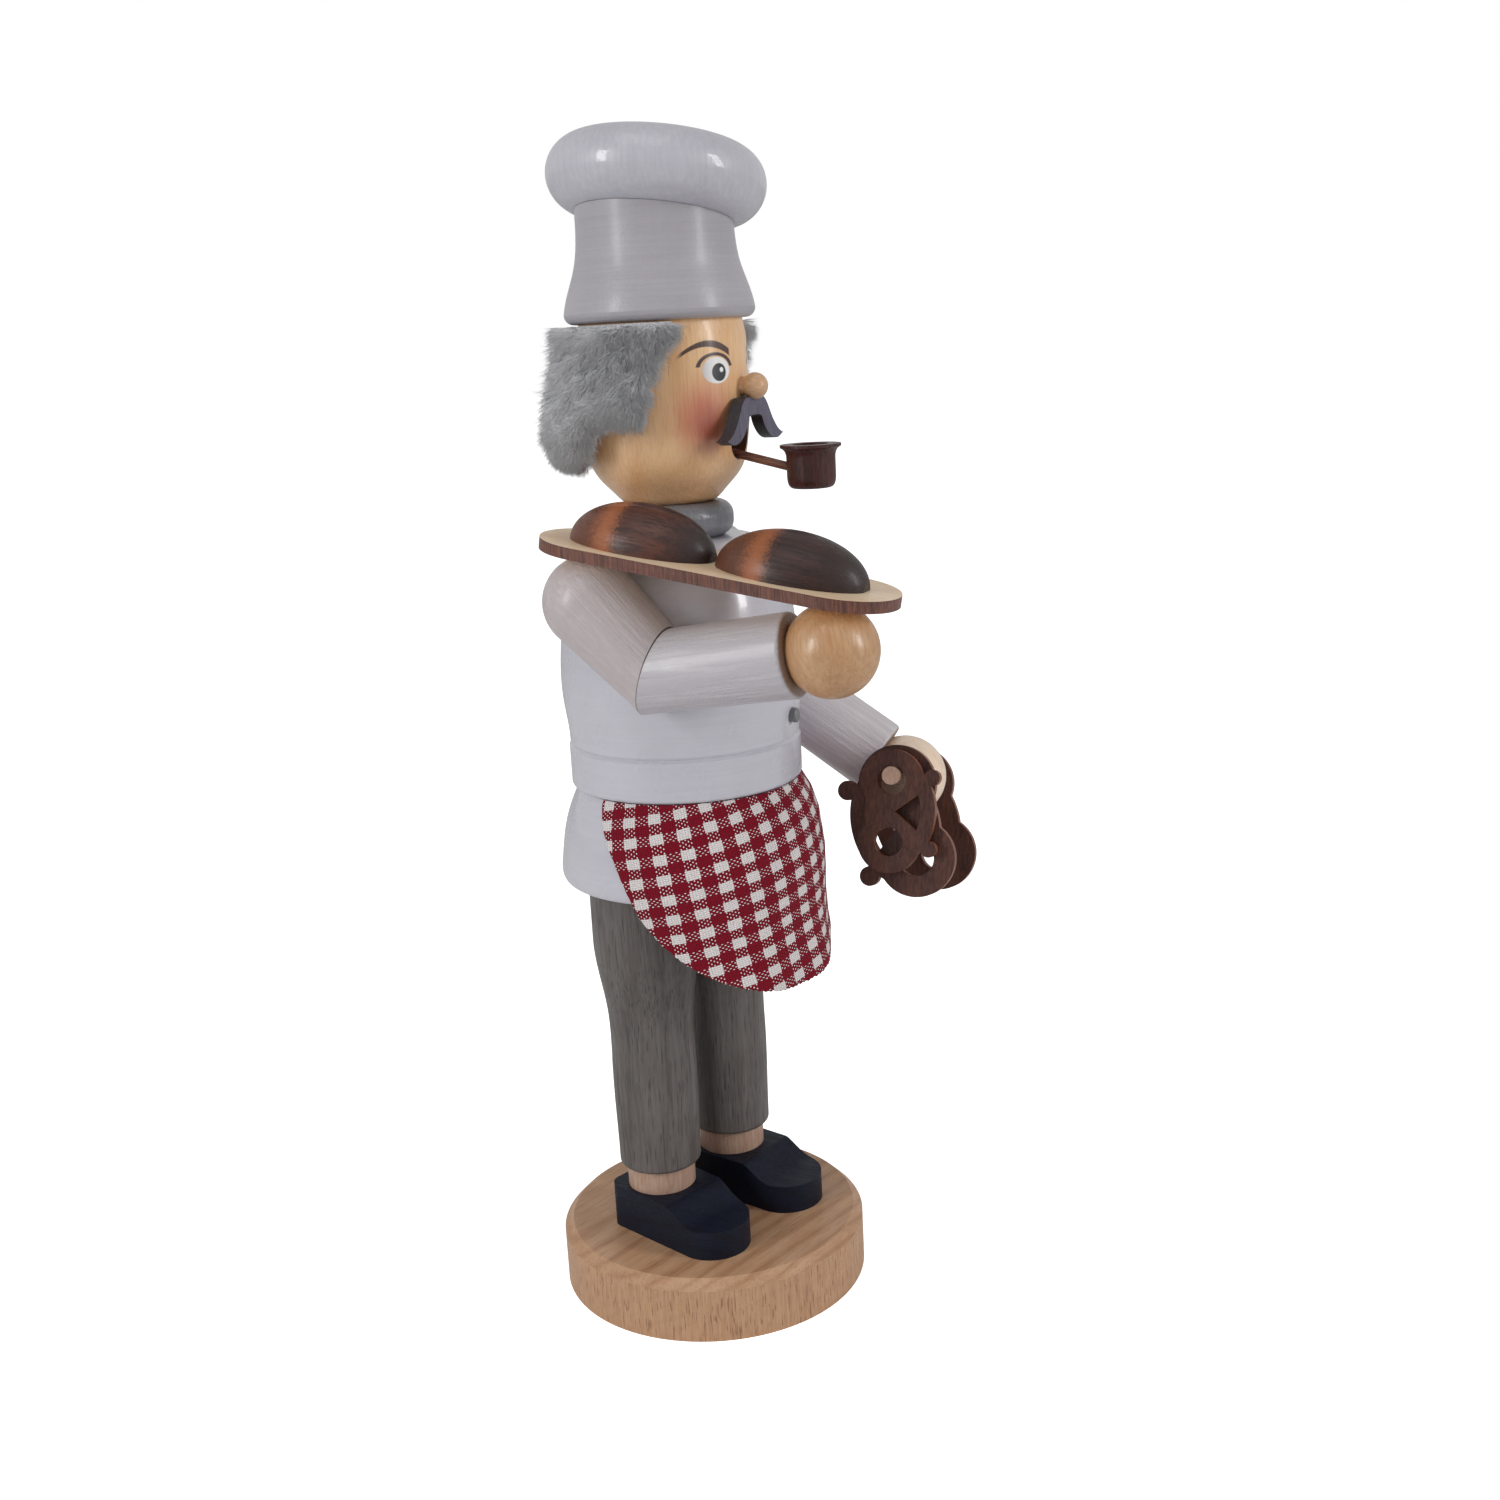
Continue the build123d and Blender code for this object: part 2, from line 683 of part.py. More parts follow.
# Hat band, cut slantwise on top, and the hat crown that sits on the slant
crown_foot = head_top + band_height
crown_normal = Vector(sin(radians(crown_tilt)), -sin(radians(crown_tilt_front)), cos(radians(crown_tilt)))
crown_plane = Plane(origin=(0, 0, crown_foot), z_dir=crown_normal)
with BuildPart() as band:
    with BuildSketch(Plane.XZ):
        with BuildLine():
            top = crown_foot + crown_tenon_length
            Line((0, head_top), (band_radius - band_foot_round, head_top))
            CenterArc((band_radius - band_foot_round, head_top + band_foot_round), band_foot_round, -90, 90)
            Spline((band_radius, head_top + band_foot_round),
                   (band_waist_radius, head_top + band_waist_height), (band_top_radius, crown_foot),
                   tangents=((-0.15, 1), (0, 1)))
            Polyline((band_top_radius, crown_foot), (band_top_radius, top), (0, top), (0, head_top))
        make_face()
    revolve(axis=Axis.Z)
    split(bisect_by=crown_plane, keep=Keep.BOTTOM)
    with BuildSketch(Plane.XY.offset(head_top)):
        Circle(hat_tenon_radius + glue_gap)
    extrude(amount=hat_tenon_height + glue_gap, mode=Mode.SUBTRACT)
    with BuildSketch(crown_plane):
        Circle(crown_tenon_radius + glue_gap)
    extrude(amount=-crown_tenon_length - glue_gap, mode=Mode.SUBTRACT)
pieces["hat_band"] = band

with BuildPart() as crown:
    with BuildSketch(Plane(origin=crown_plane.origin, x_dir=crown_plane.x_dir, z_dir=-crown_plane.y_dir)):
        with BuildLine():
            edge = crown_thickness / 2
            CenterArc((crown_radius - edge, edge), edge, -90, 180)
            Polyline((crown_radius - edge, crown_thickness), (0, crown_thickness), (0, -crown_tenon_length),
                     (crown_tenon_radius, -crown_tenon_length), (crown_tenon_radius, 0),
                     (crown_radius - edge, 0))
        make_face()
    revolve(axis=Axis(crown_plane.origin, crown_plane.z_dir))
pieces["hat_crown"] = crown

# Pipe: a thin stem from the lower lip into the side of a turned bowl
stem_fall = radians(pipe_stem_fall)
stem_start = (0, -pipe_stem_start, pipe_stem_start_height)
stem_plane = Plane(origin=stem_start, z_dir=(0, -cos(stem_fall), -sin(stem_fall)))
stem_length = (pipe_stem_front - pipe_stem_start) / cos(stem_fall)
with BuildPart() as stem:
    with BuildSketch(stem_plane):
        Circle(pipe_stem_radius)
    extrude(amount=stem_length)
pieces["pipe_stem"] = stem

bowl_foot = bowl_top - bowl_height
with BuildPart() as bowl:
    with BuildSketch(Plane.XZ.offset(bowl_front)):
        with BuildLine():
            Line((0, bowl_foot), (bowl_foot_radius, bowl_foot))
            Spline((bowl_foot_radius, bowl_foot), (bowl_radius, (bowl_foot + bowl_top - bowl_lip) / 2),
                   tangents=((1, 0), (0, 1)))
            Line((bowl_radius, (bowl_foot + bowl_top - bowl_lip) / 2), (bowl_radius, bowl_top - bowl_lip))
            Spline((bowl_radius, bowl_top - bowl_lip), (bowl_rim_radius, bowl_top - bowl_lip_edge),
                   tangents=((0, 1), (1, 0.4)))
            Polyline((bowl_rim_radius, bowl_top - bowl_lip_edge), (bowl_rim_radius, bowl_top),
                     (bowl_bore_radius, bowl_top), (bowl_bore_radius, bowl_top - bowl_bore_depth),
                     (0, bowl_top - bowl_bore_depth), (0, bowl_foot))
        make_face()
    revolve(axis=Axis((0, -bowl_front, 0), (0, 0, 1)))
    with BuildSketch(stem_plane):
        Circle(pipe_stem_radius + glue_gap)
    extrude(amount=stem_length + glue_gap, mode=Mode.SUBTRACT)
pieces["pipe_bowl"] = bowl

# Peg through the left hand
peg_up = radians(peg_rise)
peg_side = radians(peg_yaw)
peg_way = Vector(-cos(peg_up) * cos(peg_side), -cos(peg_up) * sin(peg_side), sin(peg_up))
peg_level = Vector(0, 0, 1).cross(peg_way).normalized()
pretzel_pitch = pretzel_thickness + pretzel_slack
peg_far = hand_radius + hand_slack + pretzel_pitch + peg_end
peg_near = hand_radius + hand_slack + 2 * pretzel_pitch + peg_end
peg_plane = Plane(origin=hand_left - peg_way * peg_far, z_dir=peg_way)
with BuildPart() as peg:
    with BuildSketch(peg_plane):
        Circle(peg_radius)
    extrude(amount=peg_far + peg_near)
pieces["pretzel_peg"] = peg

# Arms and hands: each arm is cut to the torso, the elbow is a mitre and the cuff is hollowed for the hand
arms = {
    "right": (shoulder_right, elbow_right, hand_right),
    "left": (shoulder_left, elbow_left, hand_left),
}


def cut_torso_seat():
    """Hollow that lets the piece being built lie against the torso."""
    with BuildSketch(Plane.XZ) as envelope:
        with BuildLine():
            draw_torso(glue_gap)
            Polyline((collar_radius + glue_gap, collar_height), (0, collar_height), (0, torso_foot))
        make_face()
    revolve(envelope.sketch, axis=Axis.Z, mode=Mode.SUBTRACT)


for side, (shoulder, elbow, hand) in arms.items():
    upper_run = (elbow - shoulder).normalized()
    fore_run = (hand - elbow).normalized()
    upper_length = (elbow - shoulder).length
    fore_length = (hand - elbow).length - wrist_setback
    mitre = Plane(origin=elbow, z_dir=upper_run + fore_run)

    with BuildPart() as upper_arm:
        with BuildSketch(along(shoulder, elbow)):
            with BuildLine():
                far = upper_length + 2 * elbow_radius
                CenterArc((0, 0), shoulder_radius, 90, 90)
                Polyline((0, shoulder_radius), (upper_length, elbow_radius), (far, elbow_radius), (far, 0),
                         (-shoulder_radius, 0))
            make_face()
        revolve(axis=Axis(shoulder, upper_run))
        split(bisect_by=mitre, keep=Keep.BOTTOM)
        cut_torso_seat()
        if side == "right":
            cut_board_seat()
    pieces["upper_arm_" + side] = upper_arm

    with BuildPart() as forearm:
        with BuildSketch(along(elbow, hand)):
            with BuildLine():
                Polyline((fore_length, 0), (-2 * elbow_radius, 0), (-2 * elbow_radius, elbow_radius),
                         (0, elbow_radius), (fore_length - cuff_round, cuff_radius))
                CenterArc((fore_length - cuff_round, cuff_radius - cuff_round), cuff_round, 0, 90)
                Line((fore_length, cuff_radius - cuff_round), (fore_length, 0))
            make_face()
        revolve(axis=Axis(elbow, fore_run))
        split(bisect_by=mitre, keep=Keep.TOP)
        cut_torso_seat()
        with Locations(hand):
            Sphere(hand_radius + glue_gap, mode=Mode.SUBTRACT)
    pieces["forearm_" + side] = forearm


with BuildPart() as palm:
    with Locations(hand_right):
        Sphere(hand_radius)
    cut_board_seat()
pieces["hand_right"] = palm

with BuildPart() as fist:
    with BuildSketch(Plane(origin=hand_left, x_dir=peg_level, z_dir=peg_level.cross(peg_way))):
        with BuildLine():
            hole = peg_radius + glue_gap
            edge = sqrt(hand_radius**2 - hole**2)
            ThreePointArc((hole, -edge), (hand_radius, 0), (hole, edge))
            Line((hole, edge), (hole, -edge))
        make_face()
    revolve(axis=Axis(hand_left, peg_way))
pieces["hand_left"] = fist

# Bread board with a burnt edge and two half-round loaves
with BuildPart() as board:
    with BuildSketch(board_plane):
        with Locations((board_middle, 0)):
            SlotOverall(board_length, board_width)
    extrude(amount=board_thickness)
pieces["bread_board"] = board

board_top = board_plane.offset(board_thickness)
for number, end in ((1, 1), (2, -1)):
    middle = board_middle + loaf_pair_shift + end * (loaf_length + loaf_gap) / 2
    loaf_plane = Plane(origin=board_top.from_local_coords((middle, 0, 0)), x_dir=board_along, z_dir=board_up)
    slash_deep = slash_arc_radius - loaf_radius
    slash_middle = loaf_plane.from_local_coords((0, end * slash_side, -slash_deep))
    slash_axis = loaf_plane.y_dir.rotate(Axis((0, 0, 0), board_up), slash_skew)
    with BuildPart() as loaf:
        with BuildSketch(Plane(origin=loaf_plane.origin, x_dir=board_along, z_dir=loaf_plane.y_dir)):
            Ellipse(loaf_length / 2, loaf_radius)
            Rectangle(loaf_length - 2 * loaf_end, loaf_radius, align=(Align.CENTER, Align.MIN),
                      mode=Mode.INTERSECT)
        revolve(axis=Axis(loaf_plane.origin, board_along))
        split(bisect_by=loaf_plane, keep=Keep.TOP)
        with Locations(Plane(origin=slash_middle, z_dir=slash_axis)):
            Torus(slash_arc_radius, slash_radius, mode=Mode.SUBTRACT)
    pieces[f"loaf_{number}"] = loaf

# Pretzels: fretsawn plates that hang by one lobe from the peg
def draw_pretzel(size, belly):
    """Pretzel outline below the peg, with its belly to the front (1) or to the back (-1)."""
    hole = size * lobe_hole_share
    first = peg_radius + running_gap - hole
    middle = first - size / 2
    for lobe in (first, first - size):
        with Locations((0, lobe)):
            Circle(size * lobe_share)
    with Locations((belly * size * belly_side_share, middle)):
        Ellipse(size * belly_width_share, size * belly_length_share)
    for end in (1, -1):
        with Locations((belly * size * nub_side_share, middle + end * size * nub_along_share)):
            Circle(size * nub_share)
    for lobe in (first, first - size):
        with Locations((0, lobe)):
            Circle(hole, mode=Mode.SUBTRACT)
    tip = (belly * size * gap_tip_share, middle)
    upper = (belly * size * gap_side_share, middle + size * gap_along_share)
    under = (belly * size * gap_side_share, middle - size * gap_along_share)
    with BuildLine() as gap:
        Polyline(under, tip, upper)
        ThreePointArc(upper, (belly * size * gap_belly_share, middle), under)
    make_face(gap.edges(), mode=Mode.SUBTRACT)


pretzels = (
    (hand_radius + hand_slack + pretzel_pitch, small_pretzel, 1, front_swing),
    (hand_radius + hand_slack, large_pretzel, -1, second_swing),
    (-hand_radius - hand_slack - pretzel_thickness, large_pretzel, -1, third_swing),
)
for number, (offset, size, belly, swing) in enumerate(pretzels, 1):
    level = peg_level.rotate(Axis((0, 0, 0), peg_way), swing)
    with BuildPart() as pretzel:
        with BuildSketch(Plane(origin=hand_left + peg_way * offset, x_dir=level, z_dir=peg_way)):
            draw_pretzel(size, belly)
        extrude(amount=pretzel_thickness)
    pieces[f"pretzel_{number}"] = pretzel

for name, piece in pieces.items():
    piece.part.label = name
    export_step(piece.part, f"parts/{name}.step")
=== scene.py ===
"""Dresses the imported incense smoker: lacquered and stained wood, woven apron, fur hair, painted face, stage."""

import math
from functools import partialmethod

import bpy
import numpy as np
from mathutils import Matrix, Vector


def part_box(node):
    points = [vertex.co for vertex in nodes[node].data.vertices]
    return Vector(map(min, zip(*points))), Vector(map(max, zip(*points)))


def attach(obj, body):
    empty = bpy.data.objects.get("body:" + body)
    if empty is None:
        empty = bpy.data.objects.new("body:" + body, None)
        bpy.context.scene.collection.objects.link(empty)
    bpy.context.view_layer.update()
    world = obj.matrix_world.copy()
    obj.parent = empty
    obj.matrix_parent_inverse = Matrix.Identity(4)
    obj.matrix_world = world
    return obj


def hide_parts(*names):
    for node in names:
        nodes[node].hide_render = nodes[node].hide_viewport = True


bl_info = {
    "name": "Incense Smoker",
    "version": (1, 0, 0),
    "blender": (4, 5, 0),
    "location": "View3D > Sidebar > Smoker",
    "description": "Finishes for a turned incense smoker dressed as a baker",
    "category": "Object",
}

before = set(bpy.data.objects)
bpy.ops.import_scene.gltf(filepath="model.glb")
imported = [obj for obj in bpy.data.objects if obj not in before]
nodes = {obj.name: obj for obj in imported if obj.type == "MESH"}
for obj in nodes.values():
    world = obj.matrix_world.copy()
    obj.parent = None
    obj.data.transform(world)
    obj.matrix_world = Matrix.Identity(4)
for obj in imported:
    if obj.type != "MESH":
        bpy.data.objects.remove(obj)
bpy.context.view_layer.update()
MM = 0.001
UP = (0, 0, 1)
FORWARD = (0, -1, 0)

# Places in millimetres, as in the part's source
LOWER_TURN = math.radians(-18.0)
ARM_POINTS = {
    "right": ((-25.0, 4.2, 136.5), (-25.0, -7.6, 124.8), (-25.0, -39.2, 129.3)),
    "left": ((25.0, 4.2, 136.5), (25.0, -5.0, 114.7), (28.0, -33.3, 94.5)),
}
HAND_RADIUS = 7.85
WRIST_SETBACK = 6.3
BOARD_EAST = -21.6
BOARD_SLOPE = math.radians(9.745)
BOARD_ALONG = (0.0, math.cos(BOARD_SLOPE), math.sin(BOARD_SLOPE))
BOARD_UP = (0.0, -math.sin(BOARD_SLOPE), math.cos(BOARD_SLOPE))
PEG_WAY = (-0.959616, -0.117826, 0.255446)
BASE_FIBRE = (0.96, -0.28, 0.0)
HEAD_RADIUS = 15.0
HEAD_FOOT = 150.8
HEAD_HEIGHT = 31.4
# Radius and height on the head, as shares of its largest radius and its height
HEAD_SHARES = ((0.49, 0.0), (0.66, 0.06), (0.867, 0.175), (0.96, 0.335), (1.0, 0.565), (0.993, 0.86), (0.955, 1.0))
MOUTH_HEIGHT = 161.6
MOUTH_RADIUS = 3.5
MOUTH_BACK = -6.0

# Face paint: middle and radii on the head's sheet, and the soft edge's width as a share of the radii
CHEEK = ((9.9, 165.9), (5.0, 5.0), 0.75)
FLUSH = ((8.6, 163.4), (2.6, 3.4), 0.9)
EYE_WHITE = ((7.0, 173.55), (2.95, 2.2), 0.06)
PUPIL = ((6.5, 173.2), (1.55, 1.5), 0.06)
GLINT = ((5.95, 173.6), (0.42, 0.42), 0.2)
# Face lines: middles, radii and bends, and the spans over which each line fades
EYE_SHADE = (6.2, 10.8)
LID_MIDDLE = (7.2, 173.8, 0)
LID_RADII = (3.6, 2.45, 1)
LID_STROKE = (0.08, 0.14)
LID_FOOT = (174.0, 174.3)
BROW_TOP = 178.0
BROW_MIDDLE = 8.7
BROW_BEND = 0.066
BROW_HALF_WIDTHS = (0.32, 0.58)
BROW_TAPER = (14.4, 6.0)
BROW_INNER_END = (3.6, 3.95)
BROW_OUTER_END = (13.2, 14.8)
BROW_EDGE = (0.8, 1.25)

# Spans along a loaf from its middle for its painted light, highlight and shade, along the plate's radius and beside the
# elbow's mitre
LOAF_HIGHLIGHT_START = (0.8, 3.4)
LOAF_HIGHLIGHT_END = (3.9, 7.6)
LOAF_LIT_REAR = (3.0, 8.0)
LOAF_SHADED_FRONT = (-11.5, -5.0)
PLATE_BURN = (3.0, 11.0)
MITRE_LINE = (0.03, 0.13)

# Height, radius and depth of the folds from the belt down
APRON_LEVELS = (
    (100.0, 20.95, 0.0), (96.5, 22.9, 0.0), (92.7, 24.05, 0.0), (86.0, 24.85, 0.0), (81.7, 24.85, 0.1),
    (77.0, 24.7, 0.25), (72.0, 24.9, 0.4), (67.0, 25.5, 0.55), (62.0, 26.0, 0.7),
)
# Degrees from the middle and height of the cut edge
APRON_EDGE = (
    (0, 64.2), (10, 64.4), (18.6, 65.2), (26.3, 66.1), (35.2, 67.6), (42.1, 69.2), (48.6, 71.1), (55.4, 73.4),
    (62.4, 76.0), (69.2, 79.8), (73.9, 84.0), (76.9, 87.1), (80.8, 90.2), (84.9, 93.4), (88.4, 96.2), (92.0, 99.2),
)
APRON_ARC_RADIUS = 25.4
APRON_WAVES = 11
APRON_RAGGED = 0.10
APRON_MIN_DROP = 0.3
CHECK_SHIFT = (2.49, 2.23, 0)
THREADS = 5

# The fur's strip: heights, how it lies in its outline, outline radii by height, and two points of the cut front
HAIR_TOP = 181.9
HAIR_FOOT = 159.6
HAIR_SIDE_FOOT = 166.6
HAIR_STEP_START = math.radians(112)
HAIR_STEP_WIDTH = math.radians(12)
HAIR_REACH = math.radians(104)
HAIR_INSET = 2.2
HAIR_LEFT_GAIN = 1.6
HAIR_SECTION_POWER = 0.74
HAIR_PROFILE = ((19.8, 181.9), (21.7, 169.8), (22.5, 163.75), (20.6, 157.7))
HAIR_FRONT = ((8.6, 181.9), (-0.4, 157.7))
HAIR_RISE_RADIUS = 20.6
HAIR_CUT_START = 0.97
# Shares of the hairs on the strip's outer side and at its cut ends
FUR_OUTER_SHARE = 0.85
FUR_EDGE_SHARE = 0.07
# How far a hair leans along the skin's normal, outward, forward, with its clump, by chance and down; the tone's
# mean and spread, and how much darker the root and lighter the tip is
FUR_LEAN = {"normal": 0.52, "outward": 0.15, "front": 0.5, "clump": 0.25, "stray": 0.20, "droop": 0.75}
FUR_ROOT_DEPTH = 0.3
FUR_TONE = (0.14, 0.50)
FUR_ROOT_TONE = 0.30
FUR_SEED = 11

# Shares of the lacquer's colour on each limb: painted light and shade, a warm bounce off the board and a lightened left
# forearm
ARM_SHADING_TINTS = {
    "upper_arm_right": (0.99, 0.89, 0.81),
    "forearm_right": (0.99, 0.96, 0.92),
    "upper_arm_left": (0.99, 0.93, 0.88),
    "forearm_left": (1.22, 1.15, 1.08),
}

# Azimuth in degrees, height, distance, width and length in metres, and power in watts
SOFT_BOXES = {
    "soft_box_left": (-121, 0.42, 0.85, 0.16, 0.42, 2.8),
    "soft_box_right": (3, 0.42, 0.85, 0.16, 0.42, 2.6),
    "soft_box_top": (-80, 1.1, 0.45, 0.7, 0.7, 1.5),
}
LIGHT_TARGET = (0, 0, 0.11)


def paint(red, green, blue):
    """Linear colour of a paint given in 0 to 255 display values."""
    channels = (red, green, blue)
    return tuple(((value / 255 + 0.055) / 1.055) ** 2.4 if value > 10 else value / 3294 for value in channels) + (1.0,)


def colour_property(name, description, red, green, blue):
    """Colour setting with a display-value default."""
    return bpy.props.FloatVectorProperty(
        name=name, description=description, subtype="COLOR", size=4, min=0.0, max=1.0, default=paint(red, green, blue)
    )


def length_property(name, description, default):
    """Length setting in metres."""
    return bpy.props.FloatProperty(
        name=name, description=description, default=default, min=0.0, unit="LENGTH", subtype="DISTANCE"
    )


class SmokerSizes(bpy.types.PropertyGroup):
    """Sizes of the cloth, the fur and the floor."""

    check_width: length_property("Check width", "Width of one red and one white check together", 0.0053)
    check_length: length_property("Check length", "Length of one red and one white check together", 0.00365)
    check_turn: bpy.props.FloatProperty(
        name="Check turn", description="Turn of the weave on the apron", default=math.radians(-10), subtype="ANGLE"
    )
    cloth_thickness: length_property("Cloth thickness", "Thickness of the apron's cotton", 0.00040)
    fur_length: length_property("Fur length", "Mean length of a hair", 0.0033)
    fur_radius: length_property("Hair radius", "Radius of a hair at its root", 0.00009)
    fur_count: bpy.props.IntProperty(
        name="Hair count", description="Hairs on each half", default=42000, min=100, max=48000
    )
    floor_radius: length_property("Floor radius", "Radius of the pale floor", 6.0)


class SmokerColours(bpy.types.PropertyGroup):
    """Colours of the paints, stains and cloth."""

    lacquer: colour_property("Lacquer", "White lacquer of the jacket and hat", 206, 205, 214)
    lacquer_shade: colour_property("Lacquer shade", "Duller patches of the white lacquer", 194, 192, 202)
    beech_light: colour_property("Beech light", "Early wood of the base", 206, 164, 128)
    beech_dark: colour_property("Beech dark", "Late wood of the base", 172, 124, 90)
    skin_light: colour_property("Skin light", "Varnished nose", 230, 192, 148)
    skin_dark: colour_property("Skin dark", "Grain of the nose", 204, 152, 100)
    trouser_light: colour_property("Trouser light", "Stain of the trousers", 108, 102, 99)
    trouser_dark: colour_property("Trouser dark", "Grain of the trousers", 78, 71, 68)
    shoe: colour_property("Shoe", "Blue-black stain of the shoes", 15, 25, 44)
    scarf: colour_property("Scarf", "Grey lacquer of the scarf ring", 132, 133, 140)
    check_red: colour_property("Check red", "Red threads of the apron", 142, 12, 38)
    check_white: colour_property("Check white", "White threads of the apron", 246, 241, 240)
    fur_light: colour_property("Fur light", "Tips of the fur", 253, 253, 255)
    fur_dark: colour_property("Fur dark", "Roots of the fur", 192, 193, 200)
    crust_dark: colour_property("Crust dark", "Burnt crust of the first loaf", 58, 32, 26)
    # The loaves' bright band is a painted highlight
    crust_highlight: colour_property("Crust light", "Bright band of the loaves", 176, 104, 62)
    pretzel: colour_property("Pretzel", "Stain of the pretzels", 96, 57, 44)
    rouge: colour_property("Rouge", "Cheek paint", 200, 92, 78)


class Value:
    """Output of a shader node. Sums, products and the like add a math node for numbers or for vectors."""

    def __init__(self, graph, socket):
        self.graph, self.socket = graph, socket

    def join(self, operation, *values, out=0):
        kind = "VectorMath" if self.socket.type == "VECTOR" else "Math"
        return self.graph.add(kind, dict(enumerate(values)), out=out, operation=operation)

    def first(self, operation, *others, out=0):
        return self.join(operation, self, *others, out=out)

    def second(self, operation, other):
        return self.join(operation, other, self)

    __add__ = partialmethod(first, "ADD")
    __radd__ = partialmethod(second, "ADD")
    __sub__ = partialmethod(first, "SUBTRACT")
    __rsub__ = partialmethod(second, "SUBTRACT")
    __mul__ = partialmethod(first, "MULTIPLY")
    __truediv__ = partialmethod(first, "DIVIDE")
    __rtruediv__ = partialmethod(second, "DIVIDE")
    __mod__ = partialmethod(first, "FLOORED_MODULO")
    __pow__ = partialmethod(first, "POWER")
    __abs__ = partialmethod(first, "ABSOLUTE")
    floor = partialmethod(first, "FLOOR")
    sine = partialmethod(first, "SINE")
    angle_from = partialmethod(first, "ARCTAN2")
    below = partialmethod(first, "LESS_THAN")
    at_least = partialmethod(first, "MAXIMUM")
    length = partialmethod(first, "LENGTH", out=1)
    dot = partialmethod(first, "DOT_PRODUCT", out=1)

    def clamped(self):
        return self.at_least(0.0).first("MINIMUM", 1.0)

    def part(self, axis):
        return self.graph.add("SeparateXYZ", {0: self}, out=axis)

    def span(self, low, high, to_low=0.0, to_high=1.0):
        """Smooth step from low to high."""
        ends = {0: self, 1: low, 2: high, 3: to_low, 4: to_high}
        return self.graph.add("MapRange", ends, interpolation_type="SMOOTHSTEP")

    def noise(self, scale, detail=2.0, roughness=0.5):
        inputs = {"Vector": self, "Scale": scale, "Detail": detail, "Roughness": roughness}
        return self.graph.add("TexNoise", inputs)

    def placed(self, at=(0, 0, 0), turn=(0, 0, 0), scale=(1, 1, 1)):
        inputs = {"Vector": self, "Location": at, "Rotation": turn, "Scale": scale}
        return self.graph.add("Mapping", inputs)


class Graph:
    """Adds nodes to one shader tree. An input may be a number, a colour, a vector or a value of the tree."""

    def __init__(self, tree):
        self.tree = tree

    def feed(self, socket, value):
        if isinstance(value, Value):
            self.tree.links.new(value.socket, socket)
        else:
            socket.default_value = value

    def outputs(self, node):
        return {socket.name: Value(self, socket) for socket in node.outputs}

    def add(self, kind, inputs, out=0, **settings):
        node = self.tree.nodes.new("ShaderNode" + kind)
        for name, value in settings.items():
            setattr(node, name, value)
        for key, value in inputs.items():
            self.feed(node.inputs[key], value)
        return Value(self, node.outputs[out])

    def mix(self, factor, first, second):
        return self.add("Mix", {0: factor, 6: first, 7: second}, out=2, data_type="RGBA")

    def normal(self):
        """Surface normal in object space."""
        return self.add("TexCoord", {}, out="Normal")

    def millimetres(self, fibre=UP):
        """Object coordinates in millimetres, turned so that the fibre direction is Z."""
        turn = Vector(fibre).rotation_difference(Vector(UP)).to_euler()
        return self.add("TexCoord", {}, out="Object").placed(turn=turn, scale=(1 / MM, 1 / MM, 1 / MM))

    def effect(self, name, **inputs):
        """A shared group's outputs. An input named ring_pitch goes to the socket Ring pitch."""
        node = self.tree.nodes.new("ShaderNodeGroup")
        node.node_tree = bpy.data.node_groups[name]
        for key, value in inputs.items():
            self.feed(node.inputs[key.replace("_", " ").capitalize()], value)
        return self.outputs(node)

    def results(self, **values):
        """Closes a group with its named outputs."""
        for name in values:
            self.tree.interface.new_socket(name, in_out="OUTPUT", socket_type="NodeSocketFloat")
        end = self.tree.nodes.new("NodeGroupOutput")
        for name, value in values.items():
            self.feed(end.inputs[name], value)


def new_group(name, **defaults):
    """Shader group that takes a place and settings with these defaults: its graph, the place and the settings."""
    tree = bpy.data.node_groups.new(name, "ShaderNodeTree")
    tree.interface.new_socket("Vector", in_out="INPUT", socket_type="NodeSocketVector")
    for key, default in defaults.items():
        kind = "NodeSocketVector" if isinstance(default, tuple) else "NodeSocketFloat"
        label = key.replace("_", " ").capitalize()
        tree.interface.new_socket(label, in_out="INPUT", socket_type=kind).default_value = default
    graph = Graph(tree)
    given = graph.outputs(tree.nodes.new("NodeGroupInput"))
    return graph, given["Vector"], given


def build_wood_grain():
    """Streaks, growth rings round a far pith and short pores; fibres run along Z, places are in millimetres."""
    sizes = dict(streak_width=0.8, ring_pitch=3.0, ring_sharpness=1.6, pore_length=2.5)
    graph, point, given = new_group("Wood grain", **sizes)
    pith = (-62, 48, 0)
    streaks = (point * (1, 1, 0.05)).noise(1 / given["Streak width"], 5, 0.62)
    wobble = (point * (0.06, 0.06, 0.01)).noise(1.0, 2)
    rings = (point * (1, 1, 0) - pith).length() / given["Ring pitch"] + wobble * 2.5
    wave = (rings * (2 * math.pi)).sine() * 0.5 + 0.5
    squeeze = graph.add("CombineXYZ", {0: 1.0, 1: 1.0, 2: 0.3 / given["Pore length"]})
    pores = (point * squeeze).noise(3.2, 1)
    graph.results(
        Streaks=streaks.span(0.34, 0.66), Rings=wave ** given["Ring sharpness"], Pores=pores.span(0.60, 0.70)
    )


def build_surface_marks():
    """Orange peel of a sprayed lacquer, circles left by turning, and soft mottle; places are in millimetres."""
    graph, point, given = new_group("Surface marks", peel_size=0.5, mottle_size=6.0)
    peel = point.noise(1 / given["Peel size"], 2, 0.55)
    circles = (point * (0.02, 0.02, 1.0)).noise(2.2, 4, 0.6)
    mottle = point.noise(1 / given["Mottle size"], 3, 0.55)
    graph.results(Peel=peel, Turning=circles.span(0.25, 0.75), Mottle=mottle.span(0.3, 0.7))


